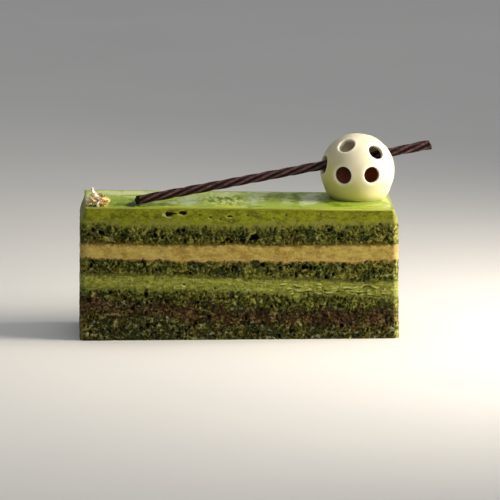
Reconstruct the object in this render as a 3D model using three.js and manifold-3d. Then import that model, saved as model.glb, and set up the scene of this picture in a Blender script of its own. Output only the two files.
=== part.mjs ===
// A matcha gateau: a slice of layered green-tea cake with a glazed top. A hollow white chocolate ball
// with round holes stands on it, a twisted chocolate stick lies threaded through the ball, and a tuft of
// crumpled gold leaf sits at the front left corner.
//
// Millimetres, +Z up, +X along the slice, +Y away from the cut front. The origin is the middle of the
// slice's flat underside.

import * as THREE from "three";
import { mergeVertices } from "three/addons/utils/BufferGeometryUtils.js";
import Module from "manifold-3d";

const wasm = await Module();
wasm.setup();

// The slice: a block cut on all four sides, a little narrower towards its top.
const LENGTH = 110;
const DEPTH = 35;
const LEAN = 0.4; // each end stands this much further in at the top of the sponges than at the foot
const CREAM_TAPER = 1.7; // and the soft top cream is drawn in this much more by the knife
const TAPER_FROM = 40; // height where the taper of the soft cream starts
const TAPER_OVER = 6;
const CORNER_RADIUS = 2.4; // upright corners of the sponges
const TOP_CORNER_RADIUS = 0.9; // upright corners at the glaze
const GLAZE_EDGE = 0.3; // rounding of the glaze's upper edge

// Layers from the foot up. top is the height of the layer's upper face at the left mark, the middle and
// the right mark, wave is how unevenly it was spread, and crumb how deep its cut side is pitted.
const MARK = 41; // distance of the left and right marks from the middle
const LAYERS = [
  { name: "base_sponge", top: [8.2, 6.0, 4.8], wave: 0.3, crumb: 0.34, bands: 2, colour: 0x4f4c20 },
  { name: "cocoa_sponge", top: [14.2, 11.0, 9.9], wave: 0.3, crumb: 0.34, bands: 2, colour: 0x38271b },
  { name: "lower_sponge", top: [18.1, 16.6, 15.1], wave: 0.3, crumb: 0.34, bands: 2, colour: 0x414017 },
  { name: "green_cream", top: [22.9, 21.5, 20.3], wave: 0.25, crumb: 0.14, bands: 2, colour: 0x71722c },
  { name: "middle_sponge", top: [28.4, 27.3, 27.1], wave: 0.2, crumb: 0.34, bands: 2, colour: 0x414017 },
  { name: "caramel_cream", top: [33.5, 32.9, 32.7], wave: 0.12, crumb: 0.1, bands: 1, colour: 0xa07f3f },
  { name: "top_sponge", top: [40.4, 39.6, 39.8], wave: 0.2, crumb: 0.34, bands: 3, colour: 0x414017 },
  { name: "matcha_mousse", top: [45.6, 45.0, 44.5], wave: 0, crumb: 0.08, bands: 2, colour: 0x70741e },
];
const GLAZE_THICKNESS = 0.5;
const TOP_TWIST = 0.4; // the top dips this much at its back right corner and rises as much at the left
const CREAM_DIP = { x: 20.6, depth: 2.6, halfWidth: 3.2, reach: 9 }; // where green cream sank in a hollow
const CREAM_DIP_LAYER = 2; // the sponge whose upper face has that hollow
const WAVES = [
  // turns per millimetre along and across the slice, share of the layer's wave, and shift per layer
  { along: 0.13, across: 0, share: 1, shift: 1.7 },
  { along: 0.31, across: 0.18, share: 0.6, shift: 2.3 },
];

// How finely the outline of the slice is divided.
const LONG_STEPS = 36;
const SHORT_STEPS = 10;
const CORNER_STEPS = 3;

// The ball: a thin shell with its foot melted flat and open.
const BALL_RADIUS = 12.9;
const BALL_WALL = 1.3;
const BALL_FOOT = 9.8; // height of the ball's middle above its flat foot
const BALL_AT = new THREE.Vector3(41.7, 6.5, 54.8);
const HOLES = [
  // azimuth from the front, positive to the right, elevation, both in degrees, and diameter
  [-27, 0, 6.0],
  [19.8, 0.8, 5.5],
  [-32, 51, 5.8],
  [36.5, 37.5, 5.5],
  [-76.2, 11.5, 6.4], // the stick goes in here
  [102.8, 23.5, 6.0], // and comes out here
  [-128, 2, 5.6],
  [180, 6, 6.4],
  [130, 2, 5.4],
  [-140, 42, 5.6],
  [160, 48, 5.5],
];
const HOLE_SIDES = 12;
const BALL_OUTSIDE = [28, 16]; // steps round and up
const BALL_INSIDE = [18, 10];

// The stick: five soft ridges in a slow twist, lying on the glaze at its left end.
const STICK_START = new THREE.Vector3(-34.9, -11.9, 47.9);
const STICK_END = new THREE.Vector3(67.2, 12.6, 62.7);
const STICK_RADIUS = 1.65;
const STICK_FLARE = 0.15; // its right end is this much thicker
const STICK_FLARE_FROM = 0.85; // share of its length where that starts
const STICK_RIDGES = 5;
const STICK_GROOVE = 0.36;
const STICK_PITCH = 34.5; // length of one full turn, left-handed
const STICK_SAG = 0.15; // dip of its middle below the straight line
const STICK_CUTS = { start: [-0.35, 0.2], end: [-0.1, -0.25] }; // slopes of the snapped ends, back and up
const STICK_SIDES = 20;
const STICK_STEPS = 36;

// The tuft of gold leaf.
const LEAF_AT = new THREE.Vector3(-48.7, -12.4, 46.42);
const LEAF_SPREAD = new THREE.Vector3(4.2, 3.9, 4.0); // half width, half depth and height of the heap
const LEAF_FLAKES = 9;
const LEAF_FLAKE_SIZE = 3.4;
const LEAF_THICKNESS = 0.25;
const LEAF_TORN = 0.45; // share by which an edge is torn back at most
const LEAF_CRUMPLE = [0.22, 0.2]; // height of the creases along and across a flake
const LEAF_CREASES = [9, 7]; // how closely they follow one another
const LEAF_CORE = [0.78, 0.75, 0.72]; // shares of the heap's spread that its core fills
const LEAF_REACH = 0.75; // how far out the outermost flake sits
const LEAF_FALL = 0.62; // how much lower it sits than the middle one
const LEAF_UPRIGHT = 1.4; // tilt of the middle flake
const LEAF_TILT = [0.3, 0.7]; // least tilt of the others and what is added to it
const GOLDEN_ANGLE = Math.PI * (3 - Math.sqrt(5));

// ---- shared helpers -------------------------------------------------------------------------------

const material = (color, roughness) => new THREE.MeshStandardMaterial({ color, roughness, metalness: 0 });

const smoothstep = (t) => {
  const c = THREE.MathUtils.clamp(t, 0, 1);
  return c * c * (3 - 2 * c);
};

// A repeatable number between 0 and 1 for a pair of whole numbers.
const scatter = (i, j) => {
  const s = Math.sin(i * 12.9898 + j * 78.233) * 43758.5453;
  return s - Math.floor(s);
};

// A closed mesh from a list of points and a list of triangles.
function solid(points, triangles) {
  const geometry = new THREE.BufferGeometry();
  geometry.setAttribute("position", new THREE.Float32BufferAttribute(points.flat(), 3));
  geometry.setIndex(triangles.flat());
  geometry.computeVertexNormals();
  return geometry;
}

// Joins the doubled vertices along the seams of a three.js geometry.
function weld(geometry) {
  geometry.deleteAttribute("normal");
  geometry.deleteAttribute("uv");
  return mergeVertices(geometry, 1e-4);
}

function toManifold(geometry) {
  const welded = weld(geometry.clone());
  const vertProperties = new Float32Array(welded.attributes.position.array);
  const triVerts = new Uint32Array(welded.index.array);
  return new wasm.Manifold(new wasm.Mesh({ numProp: 3, vertProperties, triVerts }));
}

function fromManifold(manifold) {
  const mesh = manifold.getMesh();
  const geometry = new THREE.BufferGeometry();
  geometry.setAttribute("position", new THREE.Float32BufferAttribute(mesh.vertProperties, 3));
  geometry.setIndex(Array.from(mesh.triVerts));
  geometry.computeVertexNormals();
  return geometry;
}

// ---- the slice ------------------------------------------------------------------------------------

// Height of a layer's upper face at (x, y): a curve through its three marks, and the waves it was
// spread with. Index -1 is the flat underside.
function levelAt(index, x, y) {
  if (index < 0) {
    return 0;
  }
  const { top, wave } = LAYERS[index];
  const t = x / MARK;
  const slope = (top[2] - top[0]) / 2;
  const bend = (top[2] + top[0]) / 2 - top[1];
  let height = top[1] + slope * t + bend * t * t;
  for (const { along, across, share, shift } of WAVES) {
    height += wave * share * Math.sin(along * x + across * y + shift * index);
  }
  if (index === CREAM_DIP_LAYER) {
    const across = Math.max(0, 1 - Math.abs(x - CREAM_DIP.x) / CREAM_DIP.halfWidth);
    const inward = Math.max(0, 1 - (y + DEPTH / 2) / CREAM_DIP.reach);
    height -= CREAM_DIP.depth * across * inward;
  }
  if (index === LAYERS.length - 1) {
    height -= TOP_TWIST * ((2 * x) / LENGTH) * (y / DEPTH + 0.5);
  }
  return height;
}

// Points of the slice's outline at unit lean, counter-clockwise from the front left, each with the
// direction that faces out there.
function outline(halfLength, halfDepth, radius) {
  const points = [];
  const straight = (x0, y0, x1, y1, steps, nx, ny) => {
    for (let i = 0; i <= steps; i += 1) {
      const t = i / steps;
      points.push({ x: x0 + (x1 - x0) * t, y: y0 + (y1 - y0) * t, nx, ny });
    }
  };
  const corner = (cx, cy, from) => {
    for (let i = 1; i < CORNER_STEPS; i += 1) {
      const angle = from + ((Math.PI / 2) * i) / CORNER_STEPS;
      const nx = Math.cos(angle);
      const ny = Math.sin(angle);
      points.push({ x: cx + radius * nx, y: cy + radius * ny, nx, ny });
    }
  };
  const a = halfLength - radius;
  const b = halfDepth - radius;
  straight(-a, -halfDepth, a, -halfDepth, LONG_STEPS, 0, -1);
  corner(a, -b, -Math.PI / 2);
  straight(halfLength, -b, halfLength, b, SHORT_STEPS, 1, 0);
  corner(a, b, 0);
  straight(a, halfDepth, -a, halfDepth, LONG_STEPS, 0, 1);
  corner(-a, b, Math.PI / 2);
  straight(-halfLength, b, -halfLength, -b, SHORT_STEPS, -1, 0);
  corner(-a, -b, Math.PI);
  return points;
}

// How much the ends and the upright corners change between the foot and a height.
function taperAt(z) {
  const soft = smoothstep((z - TAPER_FROM) / TAPER_OVER);
  return {
    inset: (LEAN * z) / TAPER_FROM + CREAM_TAPER * soft,
    radius: THREE.MathUtils.lerp(CORNER_RADIUS, TOP_CORNER_RADIUS, soft),
  };
}

// One ring of side points. heightAt gives z at (x, y), crumb is the depth of the pits, row numbers the
// ring and edge draws the whole ring in.
function ring(heightAt, crumb, row, edge = 0) {
  const foot = outline(LENGTH / 2, DEPTH / 2, CORNER_RADIUS);
  return foot.map((p, i) => {
    const z = heightAt(p.x, p.y);
    const { inset, radius } = taperAt(z);
    const q = outline(LENGTH / 2 - inset, DEPTH / 2, radius)[i];
    const pit = crumb * scatter(i, row) + edge;
    return [q.x - pit * q.nx, q.y - pit * q.ny, z];
  });
}

// The middle line of a level face, one point for each point of the front side.
function spine(side, heightAt) {
  const points = [];
  for (let i = 0; i <= LONG_STEPS; i += 1) {
    const x = side[i][0];
    points.push([x, 0, heightAt(x, 0)]);
  }
  return points;
}

// Triangles of a level face between a ring and its middle line, facing up.
function faceTriangles(ringStart, ringSize, spineStart) {
  const triangles = [];
  const back = LONG_STEPS + SHORT_STEPS + 2 * CORNER_STEPS;
  const at = (i) => ringStart + (i % ringSize);
  const mid = (i) => spineStart + i;
  for (let i = 0; i < LONG_STEPS; i += 1) {
    triangles.push([at(i), at(i + 1), mid(i + 1)]);
    triangles.push([at(i), mid(i + 1), mid(i)]);
    const j = LONG_STEPS - i;
    triangles.push([at(back + i), at(back + i + 1), mid(j - 1)]);
    triangles.push([at(back + i), mid(j - 1), mid(j)]);
  }
  for (let i = LONG_STEPS; i < back; i += 1) {
    triangles.push([at(i), at(i + 1), mid(LONG_STEPS)]);
  }
  for (let i = back + LONG_STEPS; i < ringSize; i += 1) {
    triangles.push([at(i), at(i + 1), mid(0)]);
  }
  return triangles;
}

// A layer from its rings, lowest first, with a level face at each end.
function layerGeometry(rings, lowerSpine, upperSpine) {
  const size = rings[0].length;
  const points = [...rings.flat(), ...lowerSpine, ...upperSpine];
  const spineStart = rings.length * size;
  const triangles = [];
  for (let row = 0; row < rings.length - 1; row += 1) {
    for (let i = 0; i < size; i += 1) {
      const a = row * size + i;
      const b = row * size + ((i + 1) % size);
      triangles.push([a, b, b + size]);
      triangles.push([a, b + size, a + size]);
    }
  }
  const lower = faceTriangles(0, size, spineStart);
  const upper = faceTriangles((rings.length - 1) * size, size, spineStart + lowerSpine.length);
  triangles.push(...lower.map(([a, b, c]) => [a, c, b]), ...upper);
  return solid(points, triangles);
}

// The shared faces between layers: each is one ring and one middle line used by both neighbours.
function levelFaces() {
  const faces = [];
  for (let index = -1; index < LAYERS.length; index += 1) {
    const heightAt = (x, y) => levelAt(index, x, y);
    const below = LAYERS[Math.max(index, 0)];
    const above = LAYERS[Math.min(index + 1, LAYERS.length - 1)];
    const crumb = Math.min(below.crumb, above.crumb);
    const side = ring(heightAt, index < 0 ? 0 : crumb, 10 * index);
    faces.push({ side, middle: spine(side, heightAt) });
  }
  return faces;
}

function cakeLayers() {
  const faces = levelFaces();
  const meshes = LAYERS.map((layer, index) => {
    const rings = [faces[index].side];
    for (let band = 1; band < layer.bands; band += 1) {
      const t = band / layer.bands;
      const heightAt = (x, y) => THREE.MathUtils.lerp(levelAt(index - 1, x, y), levelAt(index, x, y), t);
      rings.push(ring(heightAt, layer.crumb, 10 * index + band));
    }
    rings.push(faces[index + 1].side);
    const geometry = layerGeometry(rings, faces[index].middle, faces[index + 1].middle);
    const mesh = new THREE.Mesh(geometry, material(layer.colour, 0.9));
    mesh.name = layer.name;
    return mesh;
  });
  meshes.push(glazeMesh(faces[LAYERS.length]));
  return meshes;
}

// The glaze on the top cream, with a rounded upper edge.
function glazeMesh(underside) {
  const under = LAYERS.length - 1;
  const raised = (share) => (x, y) => levelAt(under, x, y) + share * GLAZE_THICKNESS;
  const rim = ring(raised(0.5), 0, 0);
  const top = ring(raised(1), 0, 0, GLAZE_EDGE);
  const geometry = layerGeometry([underside.side, rim, top], underside.middle, spine(top, raised(1)));
  const mesh = new THREE.Mesh(geometry, material(0xaab870, 0.25));
  mesh.name = "glaze";
  return mesh;
}

// ---- the ball -------------------------------------------------------------------------------------

// The direction at an azimuth from the front and an elevation.
function direction(azimuth, elevation) {
  const a = THREE.MathUtils.degToRad(azimuth);
  const e = THREE.MathUtils.degToRad(elevation);
  return new THREE.Vector3(Math.sin(a) * Math.cos(e), -Math.cos(a) * Math.cos(e), Math.sin(e));
}

function uprightSphere(radius, around, up) {
  return new THREE.SphereGeometry(radius, around, up).rotateX(Math.PI / 2);
}

function ballMesh() {
  const inner = BALL_RADIUS - BALL_WALL;
  const length = 4 * BALL_WALL;
  let shell = toManifold(uprightSphere(BALL_RADIUS, ...BALL_OUTSIDE));
  shell = shell.subtract(toManifold(uprightSphere(inner, ...BALL_INSIDE)));
  for (const [azimuth, elevation, diameter] of HOLES) {
    const out = direction(azimuth, elevation);
    const drill = new THREE.CylinderGeometry(diameter / 2, diameter / 2, length, HOLE_SIDES);
    drill.applyQuaternion(new THREE.Quaternion().setFromUnitVectors(new THREE.Vector3(0, 1, 0), out));
    drill.translate(...out.multiplyScalar(BALL_RADIUS - BALL_WALL / 2).toArray());
    shell = shell.subtract(toManifold(drill));
  }
  const melted = new THREE.BoxGeometry(3 * BALL_RADIUS, 3 * BALL_RADIUS, BALL_RADIUS);
  melted.translate(0, 0, -BALL_FOOT - BALL_RADIUS / 2);
  shell = shell.subtract(toManifold(melted));
  const mesh = new THREE.Mesh(fromManifold(shell), material(0xe3dfb4, 0.45));
  mesh.name = "white_chocolate_ball";
  mesh.position.copy(BALL_AT);
  return mesh;
}

// ---- the stick ------------------------------------------------------------------------------------

// Radius of the stick at an angle round it: soft ridges that meet in sharp grooves.
function ridgeRadius(angle) {
  return STICK_RADIUS - STICK_GROOVE * (1 - Math.abs(Math.cos((STICK_RIDGES / 2) * angle)));
}

function stickMesh() {
  const along = STICK_END.clone().sub(STICK_START);
  const length = along.length();
  const section = new THREE.Shape();
  for (let i = 0; i < STICK_SIDES; i += 1) {
    const angle = (2 * Math.PI * i) / STICK_SIDES;
    const r = ridgeRadius(angle);
    const place = i === 0 ? "moveTo" : "lineTo";
    section[place](r * Math.cos(angle), r * Math.sin(angle));
  }
  section.closePath();
  const options = { depth: length, steps: STICK_STEPS, bevelEnabled: false };
  const geometry = weld(new THREE.ExtrudeGeometry(section, options));
  const position = geometry.attributes.position;
  const step = length / STICK_STEPS;
  const point = new THREE.Vector3();
  for (let i = 0; i < position.count; i += 1) {
    point.fromBufferAttribute(position, i);
    const share = point.z / length;
    const turn = (-2 * Math.PI * point.z) / STICK_PITCH;
    point.applyAxisAngle(new THREE.Vector3(0, 0, 1), turn);
    const flare = smoothstep((share - STICK_FLARE_FROM) / (1 - STICK_FLARE_FROM));
    const thickness = 1 + (STICK_FLARE / STICK_RADIUS) * flare;
    point.x *= thickness;
    point.y *= thickness;
    for (const [ends, distance] of [["start", point.z], ["end", length - point.z]]) {
      const [back, up] = STICK_CUTS[ends];
      point.z += Math.max(0, 1 - distance / step) * (back * point.x + up * point.y);
    }
    point.y -= 4 * STICK_SAG * share * (1 - share);
    position.setXYZ(i, point.x, point.y, point.z);
  }
  geometry.computeVertexNormals();
  const mesh = new THREE.Mesh(geometry, material(0x3c2020, 0.5));
  mesh.name = "chocolate_twist";
  mesh.position.copy(STICK_START);
  const side = new THREE.Vector3(0, 0, 1).cross(along).normalize();
  const forward = along.clone().normalize();
  const up = forward.clone().cross(side);
  mesh.quaternion.setFromRotationMatrix(new THREE.Matrix4().makeBasis(side, up, forward));
  return mesh;
}

// ---- the gold leaf --------------------------------------------------------------------------------

// A thin crumpled flake, both faces split into triangles alike.
function flake(number) {
  const columns = 2;
  const rows = 2;
  const points = [];
  for (const lift of [LEAF_THICKNESS, 0]) {
    for (let j = 0; j <= rows; j += 1) {
      for (let i = 0; i <= columns; i += 1) {
        const u = i / columns - 0.5;
        const v = j / rows - 0.5;
        const torn = 1 - LEAF_TORN * scatter(7 * number + i, j);
        const along = LEAF_CRUMPLE[0] * Math.sin(LEAF_CREASES[0] * u + number);
        const crumple = along + LEAF_CRUMPLE[1] * Math.cos(LEAF_CREASES[1] * v + 2 * number);
        points.push([u * LEAF_FLAKE_SIZE * torn, 0.8 * v * LEAF_FLAKE_SIZE * torn, crumple + lift]);
      }
    }
  }
  const width = columns + 1;
  const half = width * (rows + 1);
  const triangles = [];
  for (let j = 0; j < rows; j += 1) {
    for (let i = 0; i < columns; i += 1) {
      const a = j * width + i;
      triangles.push([a, a + 1, a + width + 1], [a, a + width + 1, a + width]);
      triangles.push([half + a, half + a + width + 1, half + a + 1]);
      triangles.push([half + a, half + a + width, half + a + width + 1]);
    }
  }
  const rim = [];
  for (let i = 0; i < columns; i += 1) rim.push(i);
  for (let j = 0; j < rows; j += 1) rim.push(j * width + columns);
  for (let i = columns; i > 0; i -= 1) rim.push(rows * width + i);
  for (let j = rows; j > 0; j -= 1) rim.push(j * width);
  rim.forEach((a, k) => {
    const b = rim[(k + 1) % rim.length];
    triangles.push([half + a, half + b, b], [half + a, b, a]);
  });
  return solid(points, triangles);
}

// The heap: a low core with flakes standing out of it, all fused, its underside flat.
function leafMesh() {
  const core = uprightSphere(1, 12, 6);
  core.scale(LEAF_CORE[0] * LEAF_SPREAD.x, LEAF_CORE[1] * LEAF_SPREAD.y, LEAF_CORE[2] * LEAF_SPREAD.z);
  let heap = toManifold(core);
  for (let number = 0; number < LEAF_FLAKES; number += 1) {
    const turn = number * GOLDEN_ANGLE;
    const reach = Math.sqrt((number + 0.5) / LEAF_FLAKES);
    const piece = flake(number);
    piece.rotateY(number === 0 ? LEAF_UPRIGHT : LEAF_TILT[0] + LEAF_TILT[1] * scatter(number, 1));
    piece.rotateZ(turn);
    piece.translate(
      LEAF_REACH * LEAF_SPREAD.x * reach * Math.cos(turn),
      LEAF_REACH * LEAF_SPREAD.y * reach * Math.sin(turn),
      LEAF_SPREAD.z * (1 - LEAF_FALL * reach),
    );
    heap = heap.add(toManifold(piece));
  }
  const below = new THREE.BoxGeometry(20, 20, 8).translate(0, 0, -4);
  const mesh = new THREE.Mesh(fromManifold(heap.subtract(toManifold(below))), material(0xd9b46a, 0.35));
  mesh.name = "gold_leaf";
  mesh.position.copy(LEAF_AT);
  return mesh;
}

// ---- the gateau -----------------------------------------------------------------------------------

const gateau = new THREE.Group();
gateau.add(...cakeLayers(), ballMesh(), stickMesh(), leafMesh());
gateau.updateMatrixWorld(true);

export default gateau;
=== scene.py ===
"""A matcha gateau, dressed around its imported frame.

The slice is a stack of soft layers cut with a knife: sponges of open crumb, two creams, a smooth
green top cream and a thin glossy glaze. A hollow white chocolate ball, a twisted dark chocolate
stick and a tuft of gold leaf stand on it.

Lengths in the classes are millimetres and MM turns them to the metres of the scene. The axes are
the frame's: +X along the slice, +Y away from the cut front, +Z up, the foot at z = 0. A noise is
given as its share, the size of its bumps, its seed and, where it isn't 1, how tall a bump is.
"""
from __future__ import annotations

import logging
import math
from collections.abc import Callable
from dataclasses import dataclass
from enum import Enum
from functools import partial

import bpy
import numpy as np
from mathutils import Matrix, Vector


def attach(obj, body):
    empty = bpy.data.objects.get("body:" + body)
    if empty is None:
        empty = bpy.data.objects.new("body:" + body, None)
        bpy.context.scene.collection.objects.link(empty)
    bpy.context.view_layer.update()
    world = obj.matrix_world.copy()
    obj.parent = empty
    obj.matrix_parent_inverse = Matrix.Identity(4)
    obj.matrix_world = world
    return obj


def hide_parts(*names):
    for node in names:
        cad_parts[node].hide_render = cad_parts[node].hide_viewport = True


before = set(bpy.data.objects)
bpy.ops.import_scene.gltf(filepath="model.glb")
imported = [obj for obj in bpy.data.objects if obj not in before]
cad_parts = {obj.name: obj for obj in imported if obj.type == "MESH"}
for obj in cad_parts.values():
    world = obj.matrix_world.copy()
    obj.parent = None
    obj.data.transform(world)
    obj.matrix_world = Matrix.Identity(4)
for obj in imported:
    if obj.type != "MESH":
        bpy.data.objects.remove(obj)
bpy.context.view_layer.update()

MM = 0.001
TURN = 2.0 * math.pi
GOLDEN_ANGLE = math.pi * (3.0 - math.sqrt(5.0))
WELD = 1e-4     # points closer than this, in millimetres, are one
NO_TRIANGLES = np.zeros((0, 3), np.int64)
log = logging.getLogger("gateau")


# ---- numbers on grids ---------------------------------------------------------------------------

def smooth(t: np.ndarray | float) -> np.ndarray:
    """The soft step: 0 below 0, 1 above 1, and 3t^2 - 2t^3 between."""
    c = np.clip(t, 0.0, 1.0)
    return c * c * (3.0 - 2.0 * c)


def mix(a: np.ndarray | float, b: np.ndarray | float, t: np.ndarray | float) -> np.ndarray:
    """The value a share t of the way from a to b."""
    return a + (b - a) * t


def direction(azimuth: float, elevation: float) -> np.ndarray:
    """The unit direction at an azimuth from the front, positive to the right, and an elevation."""
    a, e = math.radians(azimuth), math.radians(elevation)
    return np.array((math.sin(a) * math.cos(e), -math.cos(a) * math.cos(e), math.sin(e)))


def unit(vectors: np.ndarray) -> np.ndarray:
    """The vectors at length 1, with the last axis as theirs."""
    return vectors / np.maximum(np.linalg.norm(vectors, axis=-1, keepdims=True), 1e-9)


def turns(count: int) -> np.ndarray:
    """Evenly spaced angles once round, in radians."""
    return np.linspace(0.0, TURN, count, endpoint=False)


def lattice(i: np.ndarray, j: np.ndarray, seed: int) -> np.ndarray:
    """A repeatable number from 0 to 1 for each pair of whole numbers.

    The pair and the seed are multiplied by large odd numbers, added and mixed by shifts, all in
    32 bits.

    Args:
        i: First whole numbers.
        j: Second whole numbers.
        seed: Which set of numbers.

    Returns:
        One number for each pair.
    """
    word = (i.astype(np.int64) * 374761393 + j.astype(np.int64) * 668265263 + seed * 974634777) & 0xFFFFFFFF
    word = ((word ^ (word >> 13)) * 1274126177) & 0xFFFFFFFF
    return ((word ^ (word >> 16)) & 0xFFFFFF) / float(0x1000000)


@dataclass(frozen=True)
class Field:
    """Uneven patterns on a surface with one coordinate along it and one up it, in millimetres.

    Attributes:
        girth: Length after which the first coordinate comes round again, or 0 if it doesn't.
    """

    girth: float = 0.0

    def cells(self, along: np.ndarray, size: float) -> tuple[np.ndarray, int, float]:
        """The first coordinate in cells of about a size.

        Args:
            along: First coordinate.
            size: Wanted cell.

        Returns:
            The coordinate in cells, how many cells go round (0 for no end) and the true cell size.
        """
        if not self.girth:
            return along / size, 0, size
        count = max(1, round(self.girth / size))
        return along * (count / self.girth), count, self.girth / count

    def noise(self, along: np.ndarray, up: np.ndarray, size: float, seed: int, tall: float = 1.0) -> np.ndarray:
        """Smooth noise from -1 to 1: lattice numbers joined with the fifth-power ease.

        Args:
            along: First coordinate.
            up: Second coordinate.
            size: Width of one bump.
            seed: Which noise.
            tall: Height of a bump as a share of its width.

        Returns:
            The noise at each place.
        """
        u, count, _ = self.cells(along, size)
        v = up / (size * tall)
        i, j = np.floor(u).astype(np.int64), np.floor(v).astype(np.int64)
        eu, ev = (t ** 3 * (t * (t * 6.0 - 15.0) + 10.0) for t in (u - i, v - j))
        here, there = (i % count, (i + 1) % count) if count else (i, i + 1)
        low, high = (mix(lattice(here, row, seed), lattice(there, row, seed), eu) for row in (j, j + 1))
        return 2.0 * mix(low, high, ev) - 1.0

    def noises(self, along: np.ndarray, up: np.ndarray, *rows: tuple[float, ...]) -> np.ndarray:
        """Several noises added up.

        Args:
            along: First coordinate.
            up: Second coordinate.
            rows: Each noise's share, size, seed and, where it isn't 1, how tall its bumps are.

        Returns:
            The sum at each place.
        """
        return sum(share * self.noise(along, up, *rest) for share, *rest in rows)

    def bubbles(self, along: np.ndarray, up: np.ndarray, cell: float, radii: tuple[float, float],
                share: float, seed: int) -> np.ndarray:
        """Depth of bubbles that the knife has cut open.

        Each cell of a grid holds one round bubble at a random place, with its middle a little in
        front of or behind the cut. At a distance p from the middle the cut bubble is
        lift + sqrt(r^2 - p^2) deep, inside the circle where it meets the cut.

        Args:
            along: First coordinate.
            up: Second coordinate.
            cell: Size of the cells.
            radii: Smallest and largest radius.
            share: Share of the cells that hold a bubble.
            seed: Which bubbles.

        Returns:
            The depth at each place, 0 where there is none.
        """
        u, count, width = self.cells(along, cell)
        v = up / cell
        i, j = np.floor(u).astype(np.int64), np.floor(v).astype(np.int64)
        depth = np.zeros(np.broadcast(u, v).shape)
        for step in range(9):
            a, b = i + step % 3 - 1, j + step // 3 - 1
            chance, du, dv, large, out = (lattice(a % count if count else a, b, seed + k) for k in range(5))
            radius = mix(*radii, large ** 2)
            lift = radius * (0.9 * out - 0.35)
            apart = (((u - a - 0.5 - 0.8 * (du - 0.5)) * width) ** 2
                     + ((v - b - 0.5 - 0.8 * (dv - 0.5)) * cell) ** 2)
            bowl = lift + np.sqrt(np.maximum(radius ** 2 - apart, 0.0))
            depth = np.maximum(depth, np.where((chance < share) & (apart < radius ** 2 - lift ** 2), bowl, 0.0))
        return depth


# ---- meshes -------------------------------------------------------------------------------------

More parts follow.
